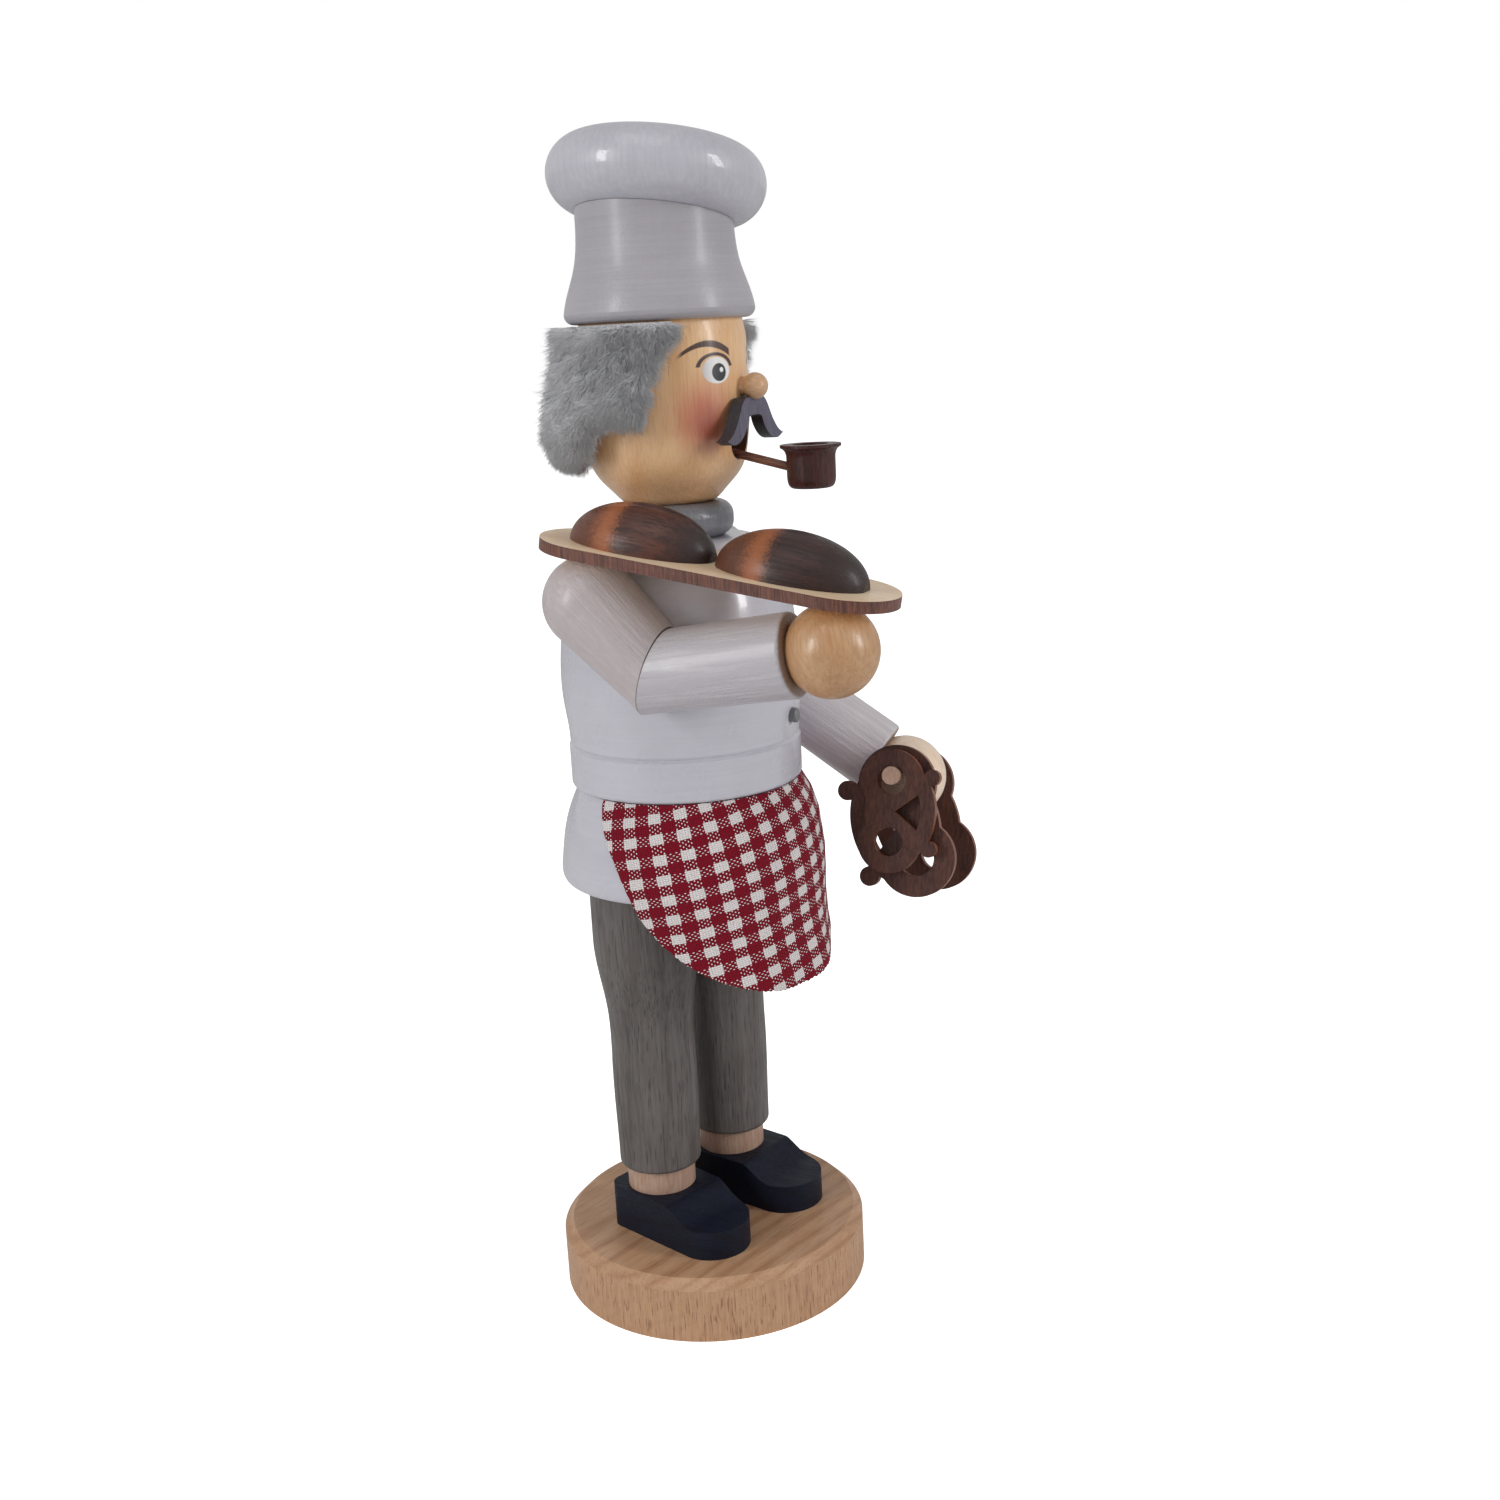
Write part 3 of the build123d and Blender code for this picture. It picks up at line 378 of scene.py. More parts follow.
def build_painted_spot():
    """Oval of paint: one inside the radii round a centre, with an edge as wide as Softness."""
    graph, point, given = new_group("Painted spot", centre=(0, 0, 0), radii=(1, 1, 1), softness=0.1)
    distance = ((point - given["Centre"]) / given["Radii"]).length()
    graph.results(Mask=1 - distance.span(1 - given["Softness"], 1 + given["Softness"]))


def build_woven_check():
    """Plain weave of ten threads a check each way: at a crossing the warp is on top where the counts add up odd.

    A thread's height is a hump across it and a lower one along it, so that it dives at both neighbours. White threads
    are the thinner ones, so a red one underneath shows on both sides of them.
    """
    graph, place, given = new_group("Woven check", check_width=5.0, check_length=4.0)
    wander = (place.noise(0.35, 3, 0.6) - 0.5) * 0.5
    threads = []
    for axis, size in (("X", "Check width"), ("Y", "Check length")):
        count = (place.part(axis) + wander) / given[size] * (2 * THREADS)
        whole = count.floor()
        middle = count - whole - 0.5
        threads.append((whole, (whole / THREADS).floor() % 2, 1 - middle * middle * 4.0))
    (warp, warp_red, warp_hump), (weft, weft_red, weft_hump) = threads
    over = (warp + weft) % 2
    under = 1 - over
    red = warp_red * over + weft_red * under
    beneath = weft_red * over + warp_red * under
    warp_top = warp_hump * (weft_hump * 0.4 + 0.6)
    weft_top = weft_hump * (warp_hump * 0.4 + 0.6)
    height = warp_top * over + weft_top * under
    beside = 1 - height.span(0.68, 0.92)
    graph.results(Red=red.at_least(beneath * beside), Height=height, Fray=place.noise(5.0, 2, 0.6))


class Finish:
    """A material in the making: its graph and constants, and the colour, height and roughness that it will get."""

    def __init__(self, name, coat=0.0, coat_roughness=0.15, sheen=0.0, metallic=0.0, specular=0.5):
        self.material = bpy.data.materials.new(name)
        self.material.use_nodes = True
        self.graph = Graph(self.material.node_tree)
        self.shader = self.material.node_tree.nodes["Principled BSDF"].inputs
        for label, value in (
            ("Coat Weight", coat),
            ("Coat Roughness", coat_roughness),
            ("Sheen Weight", sheen),
            ("Metallic", metallic),
            ("Specular IOR Level", specular),
        ):
            self.shader[label].default_value = value

    def cover(self, mask, tone):
        """Lays a tone over the colour as far as the mask goes."""
        self.colour = self.graph.mix(mask, self.colour, tone)

    def done(self, *names, relief=0.04):
        """Feeds the shader, with a bump of that depth in millimetres, and gives CAD nodes the finish."""
        self.graph.feed(self.shader["Base Color"], self.colour)
        self.graph.feed(self.shader["Roughness"], self.rough)
        bump = self.graph.add("Bump", {"Height": self.height, "Strength": 1.0, "Distance": relief * MM})
        self.graph.feed(self.shader["Normal"], bump)
        for name in names:
            for slot in nodes[name].material_slots:
                slot.material = self.material
        return self.material


class Lacquer(Finish):
    """White lacquer with turning circles, peel and a ghost of grain, and a tint per part that paints in light and
    shade.
    """

    def __init__(self, name, fibre=UP, turned=1.0, peel=0.35, grained=0.1, tint=(1, 1, 1), roughness=0.26, **constants):
        super().__init__(name, **{"coat": 0.6, "coat_roughness": 0.1, **constants})
        colours = bpy.context.scene.smoker_colours
        point = self.graph.millimetres(fibre)
        marks = self.graph.effect("Surface marks", vector=point, peel_size=0.42, mottle_size=9.0)
        grain = self.graph.effect("Wood grain", vector=point, streak_width=0.7, ring_pitch=4.0, pore_length=3.0)
        mottle, circles, streaks = marks["Mottle"], marks["Turning"], grain["Streaks"]
        light, dark = (
            tuple(value * share for value, share in zip(tone, tint)) + (1.0,)
            for tone in (colours.lacquer, colours.lacquer_shade)
        )
        shade = mottle * 0.35 + streaks * grained + circles * (0.35 * turned)
        self.colour = self.graph.mix(shade, light, dark)
        self.height = circles * (0.2 * turned) + marks["Peel"] * peel + streaks * grained
        self.rough = mottle * 0.10 + streaks * (0.1 * min(grained, 1)) + (roughness - 0.06)


class Stain(Finish):
    """Wood between a light and a dark tone, with rings, streaks and pores that also dent the surface."""

    def __init__(
        self, name, light, dark, fibre=UP, rings=0.35, streaks=0.5, pores=0.35,
        roughness=0.45, coat=0.15, coat_roughness=0.2, specular=0.5, **grain_sizes,
    ):
        super().__init__(name, coat, coat_roughness, specular=specular)
        self.point = self.graph.millimetres(fibre)
        self.grain = grain = self.graph.effect("Wood grain", vector=self.point, **grain_sizes)
        marks = self.graph.effect("Surface marks", vector=self.point, peel_size=0.6, mottle_size=7.0)
        tone = grain["Rings"] * rings + grain["Streaks"] * streaks + marks["Mottle"] * 0.25 - 0.1
        self.colour = self.graph.mix(tone.clamped(), light, dark)
        self.cover(grain["Pores"] * pores, tuple(value * 0.45 for value in dark[:3]) + (1.0,))
        self.height = grain["Streaks"] * 0.5 + grain["Pores"] * -0.7 + marks["Peel"] * 0.25
        self.rough = grain["Streaks"] * 0.12 + marks["Mottle"] * 0.08 + (roughness - 0.08)


def surface_mesh(name, points, faces):
    """Smooth mesh object at the origin from an array of points in millimetres and a list of faces."""
    mesh = bpy.data.meshes.new(name)
    mesh.from_pydata((points.reshape(-1, 3) * MM).tolist(), [], faces)
    mesh.polygons.foreach_set("use_smooth", np.full(len(mesh.polygons), True))
    mesh.update()
    piece = bpy.data.objects.new(name, mesh)
    bpy.context.scene.collection.objects.link(piece)
    return piece


def grid_quads(rows, columns, wrap_columns=False):
    """Quads of a grid whose point (row, column) has the number row times columns plus column."""
    last = columns if wrap_columns else columns - 1
    row, column = np.meshgrid(np.arange(rows - 1), np.arange(last), indexing="ij")
    first = row * columns + column
    second = row * columns + (column + 1) % columns
    return np.stack([first, second, second + columns, first + columns], axis=-1).reshape(-1, 4)


def unit(vectors):
    """Vectors of length one."""
    return vectors / (np.linalg.norm(vectors, axis=1, keepdims=True) + 1e-12)


class SMOKER_OT_effects(bpy.types.Operator):
    """Build the shared grain, lacquer, paint and weave effects"""

    bl_idname = "smoker.effects"
    bl_label = "Build shared effects"

    def execute(self, context):
        build_wood_grain()
        build_surface_marks()
        build_painted_spot()
        build_woven_check()
        return {"FINISHED"}


class SMOKER_OT_jacket(bpy.types.Operator):
    """Spray the jacket, the arms and the hat with white lacquer, and paint the scarf and buttons grey"""

    bl_idname = "smoker.jacket"
    bl_label = "Lacquer jacket and hat"

    def execute(self, context):
        colours = context.scene.smoker_colours
        Lacquer("jacket_lacquer", grained=0.02, peel=0.25).done("torso", "jacket_skirt")
        # The crown's and the band's tints darken the lacquer as painted shade, most on the band
        crown = dict(turned=0.4, peel=0.5, grained=0.6, roughness=0.36, coat=0.45, tint=(0.92, 0.92, 0.92))
        Lacquer("crown_lacquer", **crown).done("hat_crown")
        band = dict(turned=2.0, peel=2.0, roughness=0.45, coat=0.25, coat_roughness=0.22, tint=(0.72, 0.70, 0.68))
        Lacquer("band_lacquer", **band).done("hat_band")
        self.arms()
        scarf = dict(streak_width=0.35, rings=0.0, streaks=0.7, pores=0.15, roughness=0.35, coat=0.4)
        Stain("scarf_paint", colours.scarf, paint(112, 113, 120), **scarf).done("scarf")
        button = dict(fibre=(0, 1, 0), streak_width=0.4, rings=0.0, pores=0.1, roughness=0.3, coat=0.4)
        finish = Stain("button_paint", paint(118, 118, 122), paint(84, 84, 88), **button)
        finish.done("button_1", "button_2", "button_3", relief=0.02)
        return {"FINISHED"}

    def arms(self):
        """Lacquer along each limb, a dark line at the mitred elbow, and brown on the cuff's end: its bare wood,
        darkened by painted shade in the hand's seat.
        """
        limb_settings = dict(turned=0.2, peel=1.8, grained=1.2, roughness=0.38, coat=0.4, coat_roughness=0.24)
        for side, points in ARM_POINTS.items():
            shoulder, elbow, hand = (Vector(point) for point in points)
            upper = (elbow - shoulder).normalized()
            fore = (hand - elbow).normalized()
            for limb, way in (("upper_arm_" + side, upper), ("forearm_" + side, fore)):
                # The limb's tint paints light and shade onto the one white lacquer
                finish = Lacquer(limb + "_lacquer", fibre=way, tint=ARM_SHADING_TINTS[limb], **limb_settings)
                corner = finish.graph.millimetres()
                from_mitre = abs((corner - elbow).dot((upper + fore).normalized()))
                finish.cover((1 - from_mitre.span(*MITRE_LINE)) * 0.8, paint(70, 52, 44))
                if way is fore:
                    # Bare-wood brown on the cuff's end and round the hand, deepened as painted shade in the seat
                    from_hand = corner - hand
                    hollow = from_hand.length().below(HAND_RADIUS + 0.35)
                    end = from_hand.dot(fore).span(-WRIST_SETBACK - 0.3, -WRIST_SETBACK - 0.02)
                    finish.cover(hollow.at_least(end * 0.85), paint(146, 118, 98))
                finish.done(limb, relief=0.06)


class SMOKER_OT_lower_half(bpy.types.Operator):
    """Stain the base, the shoes, the ankle dowels and the trousers, and burn in the incense plate"""

    bl_idname = "smoker.lower_half"
    bl_label = "Stain lower half"

    def execute(self, context):
        colours = context.scene.smoker_colours
        shoe = dict(fibre=(0, 1, 0), streak_width=0.5, rings=0.3, streaks=0.6, pores=0.3, roughness=0.5)
        shoe.update(coat=0.04, coat_roughness=0.3, specular=0.2)
        Stain("shoe_stain", colours.shoe, paint(11, 14, 27), **shoe).done("shoe_right", "shoe_left")
        dowel = dict(streak_width=0.4, rings=0.2, streaks=0.6, pores=0.25, roughness=0.5, coat=0.1)
        finish = Stain("dowel_wood", paint(196, 164, 144), paint(170, 130, 108), **dowel)
        finish.done("ankle_right", "ankle_left", "pretzel_peg")
        trouser = dict(streak_width=0.6, ring_pitch=5.0, pore_length=5.0, rings=0.3, pores=0.7, roughness=0.5)
        trouser.update(coat=0.1, coat_roughness=0.3)
        finish = Stain("trouser_stain", colours.trouser_light, colours.trouser_dark, **trouser)
        finish.done("leg_right", "leg_left", relief=0.05)
        self.base(colours)
        self.brass()
        return {"FINISHED"}

    def base(self, colours):
        """Flat-sawn beech: rings and streaks run across the top, short dark flecks stand upright on the side."""
        beech = dict(streak_width=0.5, ring_pitch=2.5, ring_sharpness=2.2, pore_length=4.0, rings=0.55)
        beech.update(streaks=0.35, pores=0.15, roughness=0.44, coat=0.2, specular=0.35)
        finish = Stain("base_beech", colours.beech_light, colours.beech_dark, fibre=BASE_FIBRE, **beech)
        graph = finish.graph
        upright = graph.effect("Wood grain", vector=graph.millimetres(), streak_width=0.4, pore_length=3.2)
        side = 1 - graph.normal().dot(UP).span(0.5, 0.8)
        plain = graph.mix(upright["Streaks"] * 0.55, colours.beech_light, colours.beech_dark)
        finish.cover(side * 0.85, plain)
        flecks = upright["Pores"] * side
        finish.cover(flecks * 0.6, paint(118, 74, 48))
        finish.height += flecks * -0.5
        finish.done("base", relief=0.05)

    def brass(self):
        """Dull pressed brass, browned by the cone in the middle of the plate."""
        finish = Finish("burnt_brass", metallic=0.9)
        point = finish.graph.millimetres()
        marks = finish.graph.effect("Surface marks", vector=point, peel_size=0.8, mottle_size=3.0)
        burnt = (1 - (point * (1, 1, 0)).length().span(*PLATE_BURN)) * (marks["Mottle"] * 0.6 + 0.4)
        finish.colour = finish.graph.mix(marks["Mottle"] * 0.4, paint(196, 164, 104), paint(150, 118, 70))
        finish.cover(burnt, paint(62, 44, 34))
        finish.height = marks["Peel"]
        finish.rough = burnt * 0.35 + marks["Mottle"] * 0.15 + 0.3
        finish.done("incense_plate", "plate_nail")


class SMOKER_OT_face(bpy.types.Operator):
    """Varnish the head, nose and hands, and paint the eyes, brows, cheeks, mouth and moustache"""

    bl_idname = "smoker.face"
    bl_label = "Paint face"

    def execute(self, context):
        colours = context.scene.smoker_colours
        self.head(colours)
        skin = dict(streak_width=0.6, ring_pitch=6.0, rings=0.25, pores=0.15, roughness=0.36, coat=0.35)
        nose = Stain("nose_varnish", colours.skin_light, colours.skin_dark, fibre=(0, 1, 0), **skin)
        nose.cover(0.35, paint(214, 168, 140))
        nose.done("nose")
        # One varnish on both hands: the right hand's darker tones are painted shade, the left hand's near-white tones
        # painted light
        for name, fibre, light, dark in (
            ("hand_right", (0.35, 0.3, 0.9), paint(204, 162, 120), paint(180, 128, 84)),
            ("hand_left", (0.1, 0.6, 0.8), paint(255, 236, 214), paint(246, 212, 182)),
        ):
            Stain(name + "_varnish", light, dark, fibre=fibre, **skin).done(name)
        self.moustache()
        return {"FINISHED"}

    def head(self, colours):
        """Paint laid out on the head's own sheet: distance round from the middle of the face, and height."""
        varnish = dict(streak_width=0.5, ring_pitch=7.0, pore_length=5.0, rings=0.2, streaks=0.3, pores=0.12)
        varnish.update(roughness=0.34, coat=0.4)
        finish = Stain("head_varnish", paint(243, 200, 152), paint(218, 158, 102), **varnish)
        graph, point = finish.graph, finish.point
        east, north, up = (point.part(axis) for axis in "XYZ")
        fold = abs(east.angle_from(north * -1.0) * HEAD_RADIUS)
        sheet = graph.add("CombineXYZ", {0: fold, 1: up, 2: 0.0})

        def spot(centre, radii, softness):
            oval = dict(centre=(*centre, 0), radii=(*radii, 1), softness=softness)
            return graph.effect("Painted spot", vector=sheet, **oval)["Mask"]

        brushed = finish.grain["Streaks"] * 0.12 + 0.88
        finish.cover(spot(*CHEEK) * brushed * 0.75, colours.rouge)
        finish.cover(spot(*FLUSH) * 0.6, paint(140, 50, 44))
        # The eye white darkens towards the side of the head: painted shade
        eye_white_shade = graph.mix(fold.span(*EYE_SHADE), paint(252, 250, 250), paint(206, 202, 202))
        finish.cover(spot(*EYE_WHITE), eye_white_shade)
        finish.cover(spot(*PUPIL), paint(12, 14, 24))
        finish.cover(spot(*GLINT), paint(250, 250, 250))
        lid = abs(((sheet - LID_MIDDLE) / LID_RADII).length() - 1.0)
        finish.cover((1 - lid.span(*LID_STROKE)) * up.span(*LID_FOOT), paint(62, 36, 40))
        bow = BROW_TOP - abs(fold - BROW_MIDDLE) ** 2.0 * BROW_BEND - up
        half_width = fold.span(*BROW_TAPER, *BROW_HALF_WIDTHS)
        line = 1 - (abs(bow) / half_width).span(*BROW_EDGE)
        ends = fold.span(*BROW_INNER_END) * (1 - fold.span(*BROW_OUTER_END))
        finish.cover(line * ends, paint(74, 46, 34))
        # Darker brown inside the mouth's bore and round its rim
        bore = (point * (1, 0, 1) - (0, 0, MOUTH_HEIGHT)).length()
        mouth_darkened = (1 - bore.span(MOUTH_RADIUS + 0.02, MOUTH_RADIUS + 0.22)) * north.below(MOUTH_BACK)
        finish.cover(mouth_darkened * 0.9, paint(84, 44, 34))
        finish.done("head")

    def moustache(self):
        """Grey brushed front, black sawn sides."""
        finish = Finish("moustache_paint", coat=0.1, coat_roughness=0.3)
        graph = finish.graph
        point = graph.millimetres()
        marks = graph.effect("Surface marks", vector=point, peel_size=0.35, mottle_size=2.0)
        streaks = graph.effect("Wood grain", vector=point, streak_width=0.4, ring_pitch=4.0, pore_length=2.0)["Streaks"]
        grey = graph.mix(streaks * 0.5 + marks["Mottle"] * 0.4, paint(104, 100, 120), paint(74, 70, 86))
        finish.colour = graph.mix(marks["Mottle"], paint(36, 34, 42), paint(24, 22, 28))
        finish.cover(graph.normal().dot(FORWARD).span(0.5, 0.8), grey)
        finish.height = streaks * 0.6 + marks["Peel"] * 0.4
        finish.rough = streaks * 0.15 + 0.4
        finish.done("moustache", relief=0.05)


class SMOKER_OT_wares(bpy.types.Operator):
    """Finish the pipe, the bread board, the loaves and the pretzels"""

    bl_idname = "smoker.wares"
    bl_label = "Finish pipe, board and bread"

    def execute(self, context):
        colours = context.scene.smoker_colours
        pipe = dict(streak_width=0.4, rings=0.2, streaks=0.8, pores=0.3, roughness=0.4, coat=0.2, specular=0.3)
        for name, light, dark, fibre in (
            ("pipe_stem", paint(146, 96, 72), paint(104, 60, 46), (0, 1, 0)),
            ("pipe_bowl", paint(84, 38, 32), paint(44, 20, 17), UP),
        ):
            Stain(name + "_stain", light, dark, fibre=fibre, **pipe).done(name)
        self.board()
        self.loaves(colours)
        self.pretzels(colours)
        return {"FINISHED"}

    def board(self):
        """Light faces, and an edge scorched by the cutting beam with its fine upright ripples."""
        wood = dict(streak_width=0.7, ring_pitch=5.0, rings=0.25, streaks=0.45, pores=0.2)
        finish = Stain("board_wood", paint(248, 224, 192), paint(230, 194, 156), fibre=BOARD_ALONG, **wood)
        graph = finish.graph
        face = abs(graph.normal().dot(BOARD_UP)).span(0.6, 0.8)
        from_board = graph.millimetres() - (BOARD_EAST, 0, 0)
        ripple = from_board.placed(turn=(-BOARD_SLOPE, 0, 0), scale=(1, 1, 0.05)).noise(3.0, 3, 0.6)
        scorched = graph.mix(ripple.span(0.3, 0.7), paint(128, 78, 60), paint(70, 38, 32))
        finish.colour = graph.mix(face, scorched, finish.colour)
        finish.height = finish.height * 0.6 + (1 - face) * ripple * 2.0
        finish.done("bread_board", relief=0.05)

    def loaves(self, colours):
        """Crust coloured by place along the loaf in painted light and shade: lit brown behind, a bright highlight band,
        then shaded dark to the front end.
        """
        crust = dict(streak_width=0.45, streaks=0.75, pores=0.45, roughness=0.44, specular=0.35)
        crust.update(coat=0.18, coat_roughness=0.25)
        for name, light, dark in (
            ("loaf_1", paint(100, 60, 48), colours.crust_dark),
            ("loaf_2", paint(64, 35, 30), paint(37, 20, 17)),
        ):
            low, high = (Vector(corner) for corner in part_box(name))
            finish = Stain(name + "_crust", light, dark, fibre=BOARD_ALONG, **crust)
            corner = finish.graph.millimetres()
            along = (corner - (low + high) / 2 / MM).dot(BOARD_ALONG)
            edge = along + (corner.noise(2.2, 4, 0.7) - 0.5) * 5.0
            # Painted light on the rear, a painted highlight band, then painted shade to the front end
            finish.cover(along.span(*LOAF_LIT_REAR) * 0.6, paint(118, 72, 50))
            band = edge.span(*LOAF_HIGHLIGHT_START) * (1 - edge.span(*LOAF_HIGHLIGHT_END))
            finish.cover(band * 0.8, colours.crust_highlight)
            finish.cover(1 - along.span(*LOAF_SHADED_FRONT), paint(48, 34, 32))
            finish.done(name, relief=0.05)

    def pretzels(self, colours):
        """Dark faces with upright grain, and lighter sawn sides."""
        wood = dict(streak_width=0.5, ring_pitch=6.0, streaks=0.6, coat=0.1, specular=0.3)
        finish = Stain("pretzel_stain", colours.pretzel, paint(58, 32, 28), **wood)
        graph = finish.graph
        face = abs(graph.normal().dot(PEG_WAY)).span(0.6, 0.8)
        sides = graph.mix(finish.grain["Streaks"], paint(150, 94, 66), paint(104, 58, 42))
        finish.colour = graph.mix(face, sides, finish.colour)
        finish.done("pretzel_1", "pretzel_2", "pretzel_3", relief=0.05)


def apron_radius(azimuth, height):
    """Cloth radius: spread out from the belt over the skirt, then hanging free in shallow folds.

    The radius and the folds' depth are read off the levels by height; the folds are a sine of the azimuth, eleven
    half waves from side to side, and two slower waves keep them from looking alike.
    """
    levels = np.array(APRON_LEVELS)[::-1]
    radius = np.interp(height, levels[:, 0], levels[:, 1])
    depth = np.interp(height, levels[:, 0], levels[:, 2])
    wave = np.sin(APRON_WAVES * (azimuth + math.pi / 2))
    slow = 0.35 * np.sin(3.1 * azimuth + 0.7) + 0.25 * np.sin(5.3 * azimuth - 1.1)
    return radius + depth * (0.6 * wave + slow)


def apron_foot(azimuth):
    """Height of the cut edge at each azimuth: the edge's points joined, then rounded with a short running mean."""
    edge = np.array(APRON_EDGE)
    reach = math.radians(edge[-1, 0])
    fine = np.linspace(-reach, reach, 1201)
    height = np.interp(np.abs(fine), np.radians(edge[:, 0]), edge[:, 1])
    window = np.hanning(61)
    padded = np.pad(height, len(window) // 2, mode="reflect", reflect_type="odd")
    return np.interp(azimuth, fine, np.convolve(padded, window / window.sum(), mode="valid"))


class SMOKER_OT_apron(bpy.types.Operator):
    """Hang the apron of checked cotton on the skirt"""

    bl_idname = "smoker.apron"
    bl_label = "Hang apron"

    def execute(self, context):
        """Columns of points run from under the belt down to the cut edge, which is ragged by a thread here and there.

        The cloth's own flat sheet, kept as its UV map in millimetres, has the arc along the skirt as its width and
        the way down each column as its length.
        """
        sizes = context.scene.smoker_sizes
        rows, columns = 90, 420
        reach = math.radians(APRON_EDGE[-1][0])
        top = APRON_LEVELS[0][0]
        azimuth = np.linspace(-reach, reach, columns)[None, :]
        arc = azimuth * APRON_ARC_RADIUS
        thread = sizes.check_width / MM / (2 * THREADS)
        ragged = APRON_RAGGED * np.sin(arc * math.pi / thread)
        ragged = ragged + APRON_RAGGED * np.sin(azimuth * 61.0) * np.sin(azimuth * 17.0)
        foot = np.minimum(apron_foot(azimuth) + ragged, top - APRON_MIN_DROP)
        height = top + np.linspace(0, 1, rows)[:, None] * (foot - top)
        radius = apron_radius(azimuth, height)
        bearing = azimuth + LOWER_TURN
        points = np.stack([radius * np.sin(bearing), -radius * np.cos(bearing), height], -1)
        steps = np.linalg.norm(np.diff(points, axis=0), axis=-1)
        drop = np.concatenate([np.zeros((1, columns)), np.cumsum(steps, axis=0)])
        flat = np.stack([arc * np.ones_like(height), -drop], -1)
        quads = grid_quads(rows, columns)[:, ::-1]
        piece = surface_mesh("apron_cloth", points, quads.tolist())
        layer = piece.data.uv_layers.new(name="cloth")
        corner = np.empty(len(piece.data.loops), np.int32)
        piece.data.loops.foreach_get("vertex_index", corner)
        layer.data.foreach_set("uv", flat.reshape(-1, 2)[corner].ravel())
        shell = piece.modifiers.new("thickness", "SOLIDIFY")
        shell.thickness = sizes.cloth_thickness
        shell.offset = 0.0
        with context.temp_override(object=piece):
            bpy.ops.object.modifier_apply(modifier=shell.name)
        piece.data.materials.append(self.cloth(context))
        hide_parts("apron")
        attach(piece, "lower_body")
        return {"FINISHED"}

    def cloth(self, context):
        """Red and white threads with their own height, sheen and fuzz, darkened where they dip low as painted shade."""
        sizes, colours = context.scene.smoker_sizes, context.scene.smoker_colours
        finish = Finish("checked_cotton", sheen=0.06, specular=0.12)
        graph = finish.graph
        sheet = graph.add("UVMap", {}, uv_map="cloth").placed(at=CHECK_SHIFT, turn=(0, 0, sizes.check_turn))
        check = dict(check_width=sizes.check_width / MM, check_length=sizes.check_length / MM)
        weave = graph.effect("Woven check", vector=sheet, **check)
        # Threads darken where they dip beside their neighbours: painted shade
        low = weave["Height"].span(0.2, 1.0, 0.55, 0.0)
        red = graph.mix(low, colours.check_red, paint(92, 6, 22))
        white = graph.mix(low, colours.check_white, paint(208, 192, 192))
        finish.colour = graph.mix(weave["Red"], white, red)
        finish.cover(weave["Fray"].span(0.55, 0.9) * 0.06, paint(240, 232, 232))
        finish.height = weave["Height"] + weave["Fray"] * 0.3
        finish.rough = weave["Fray"] * 0.2 + 0.72
        return finish.done(relief=0.12)


def hair_edge(height, radius):
    """Azimuth of the fur's cut front, a slanting plane: its cosine is the plane's distance over the radius."""
    (top_front, top), (foot_front, foot) = HAIR_FRONT
    front = top_front + (foot_front - top_front) * (top - height) / (top - foot)
    return np.arccos(np.clip(front / radius, -1, 1))


def fur_surface(around, loop):
    """Skin of the fur strip: a rounded oblong section carried from one temple round the back to the other.

    around runs from -1 to 1 and loop from 0 to 2 pi round the section. The section is a superellipse of nearly third
    power between the head and the fur's outline; its foot steps up beside the cheeks, and it thins at the cut ends.
    """
    swing = np.abs(around)
    step = np.clip((HAIR_STEP_START - math.pi + swing * HAIR_REACH) / HAIR_STEP_WIDTH, 0, 1)
    foot = HAIR_FOOT + 0.5 + (HAIR_SIDE_FOOT - HAIR_FOOT) * (3 * step**2 - 2 * step**3)
    top = HAIR_TOP - 0.25
    up = np.sign(np.cos(loop)) * np.abs(np.cos(loop)) ** HAIR_SECTION_POWER
    out = np.sign(np.sin(loop)) * np.abs(np.sin(loop)) ** HAIR_SECTION_POWER
    height = (top + foot) / 2 + (top - foot) / 2 * up
    shares = np.array(HEAD_SHARES)
    inner = HEAD_RADIUS * np.interp((height - HEAD_FOOT) / HEAD_HEIGHT, shares[:, 1], shares[:, 0]) + 0.1
    profile = np.array(HAIR_PROFILE)
    curve = np.polyfit(profile[:, 1] - 170, profile[:, 0], 3)
    outer = np.polyval(curve, height - 170) - HAIR_INSET + HAIR_LEFT_GAIN * np.clip(around, 0, 1)
    end = np.sqrt(1 - 0.6 * np.clip((swing - HAIR_CUT_START) / (1 - HAIR_CUT_START), 0, 1) ** 2)
    lumps = 0.28 * np.sin(around * 23 + height * 0.9) + 0.22 * np.sin(around * 41 - height * 1.3 + 1)
    lumps = lumps + 0.18 * np.sin(around * 9 + height * 2.1)
    radius = (outer + inner) / 2 + (outer - inner) / 2 * out * end + np.clip(out, 0, 1) * lumps
    azimuth = math.pi - swing * (math.pi - hair_edge(height, radius))
    azimuth = np.where(around < 0, -azimuth, azimuth)
    return np.stack([radius * np.sin(azimuth), -radius * np.cos(azimuth), height], -1)


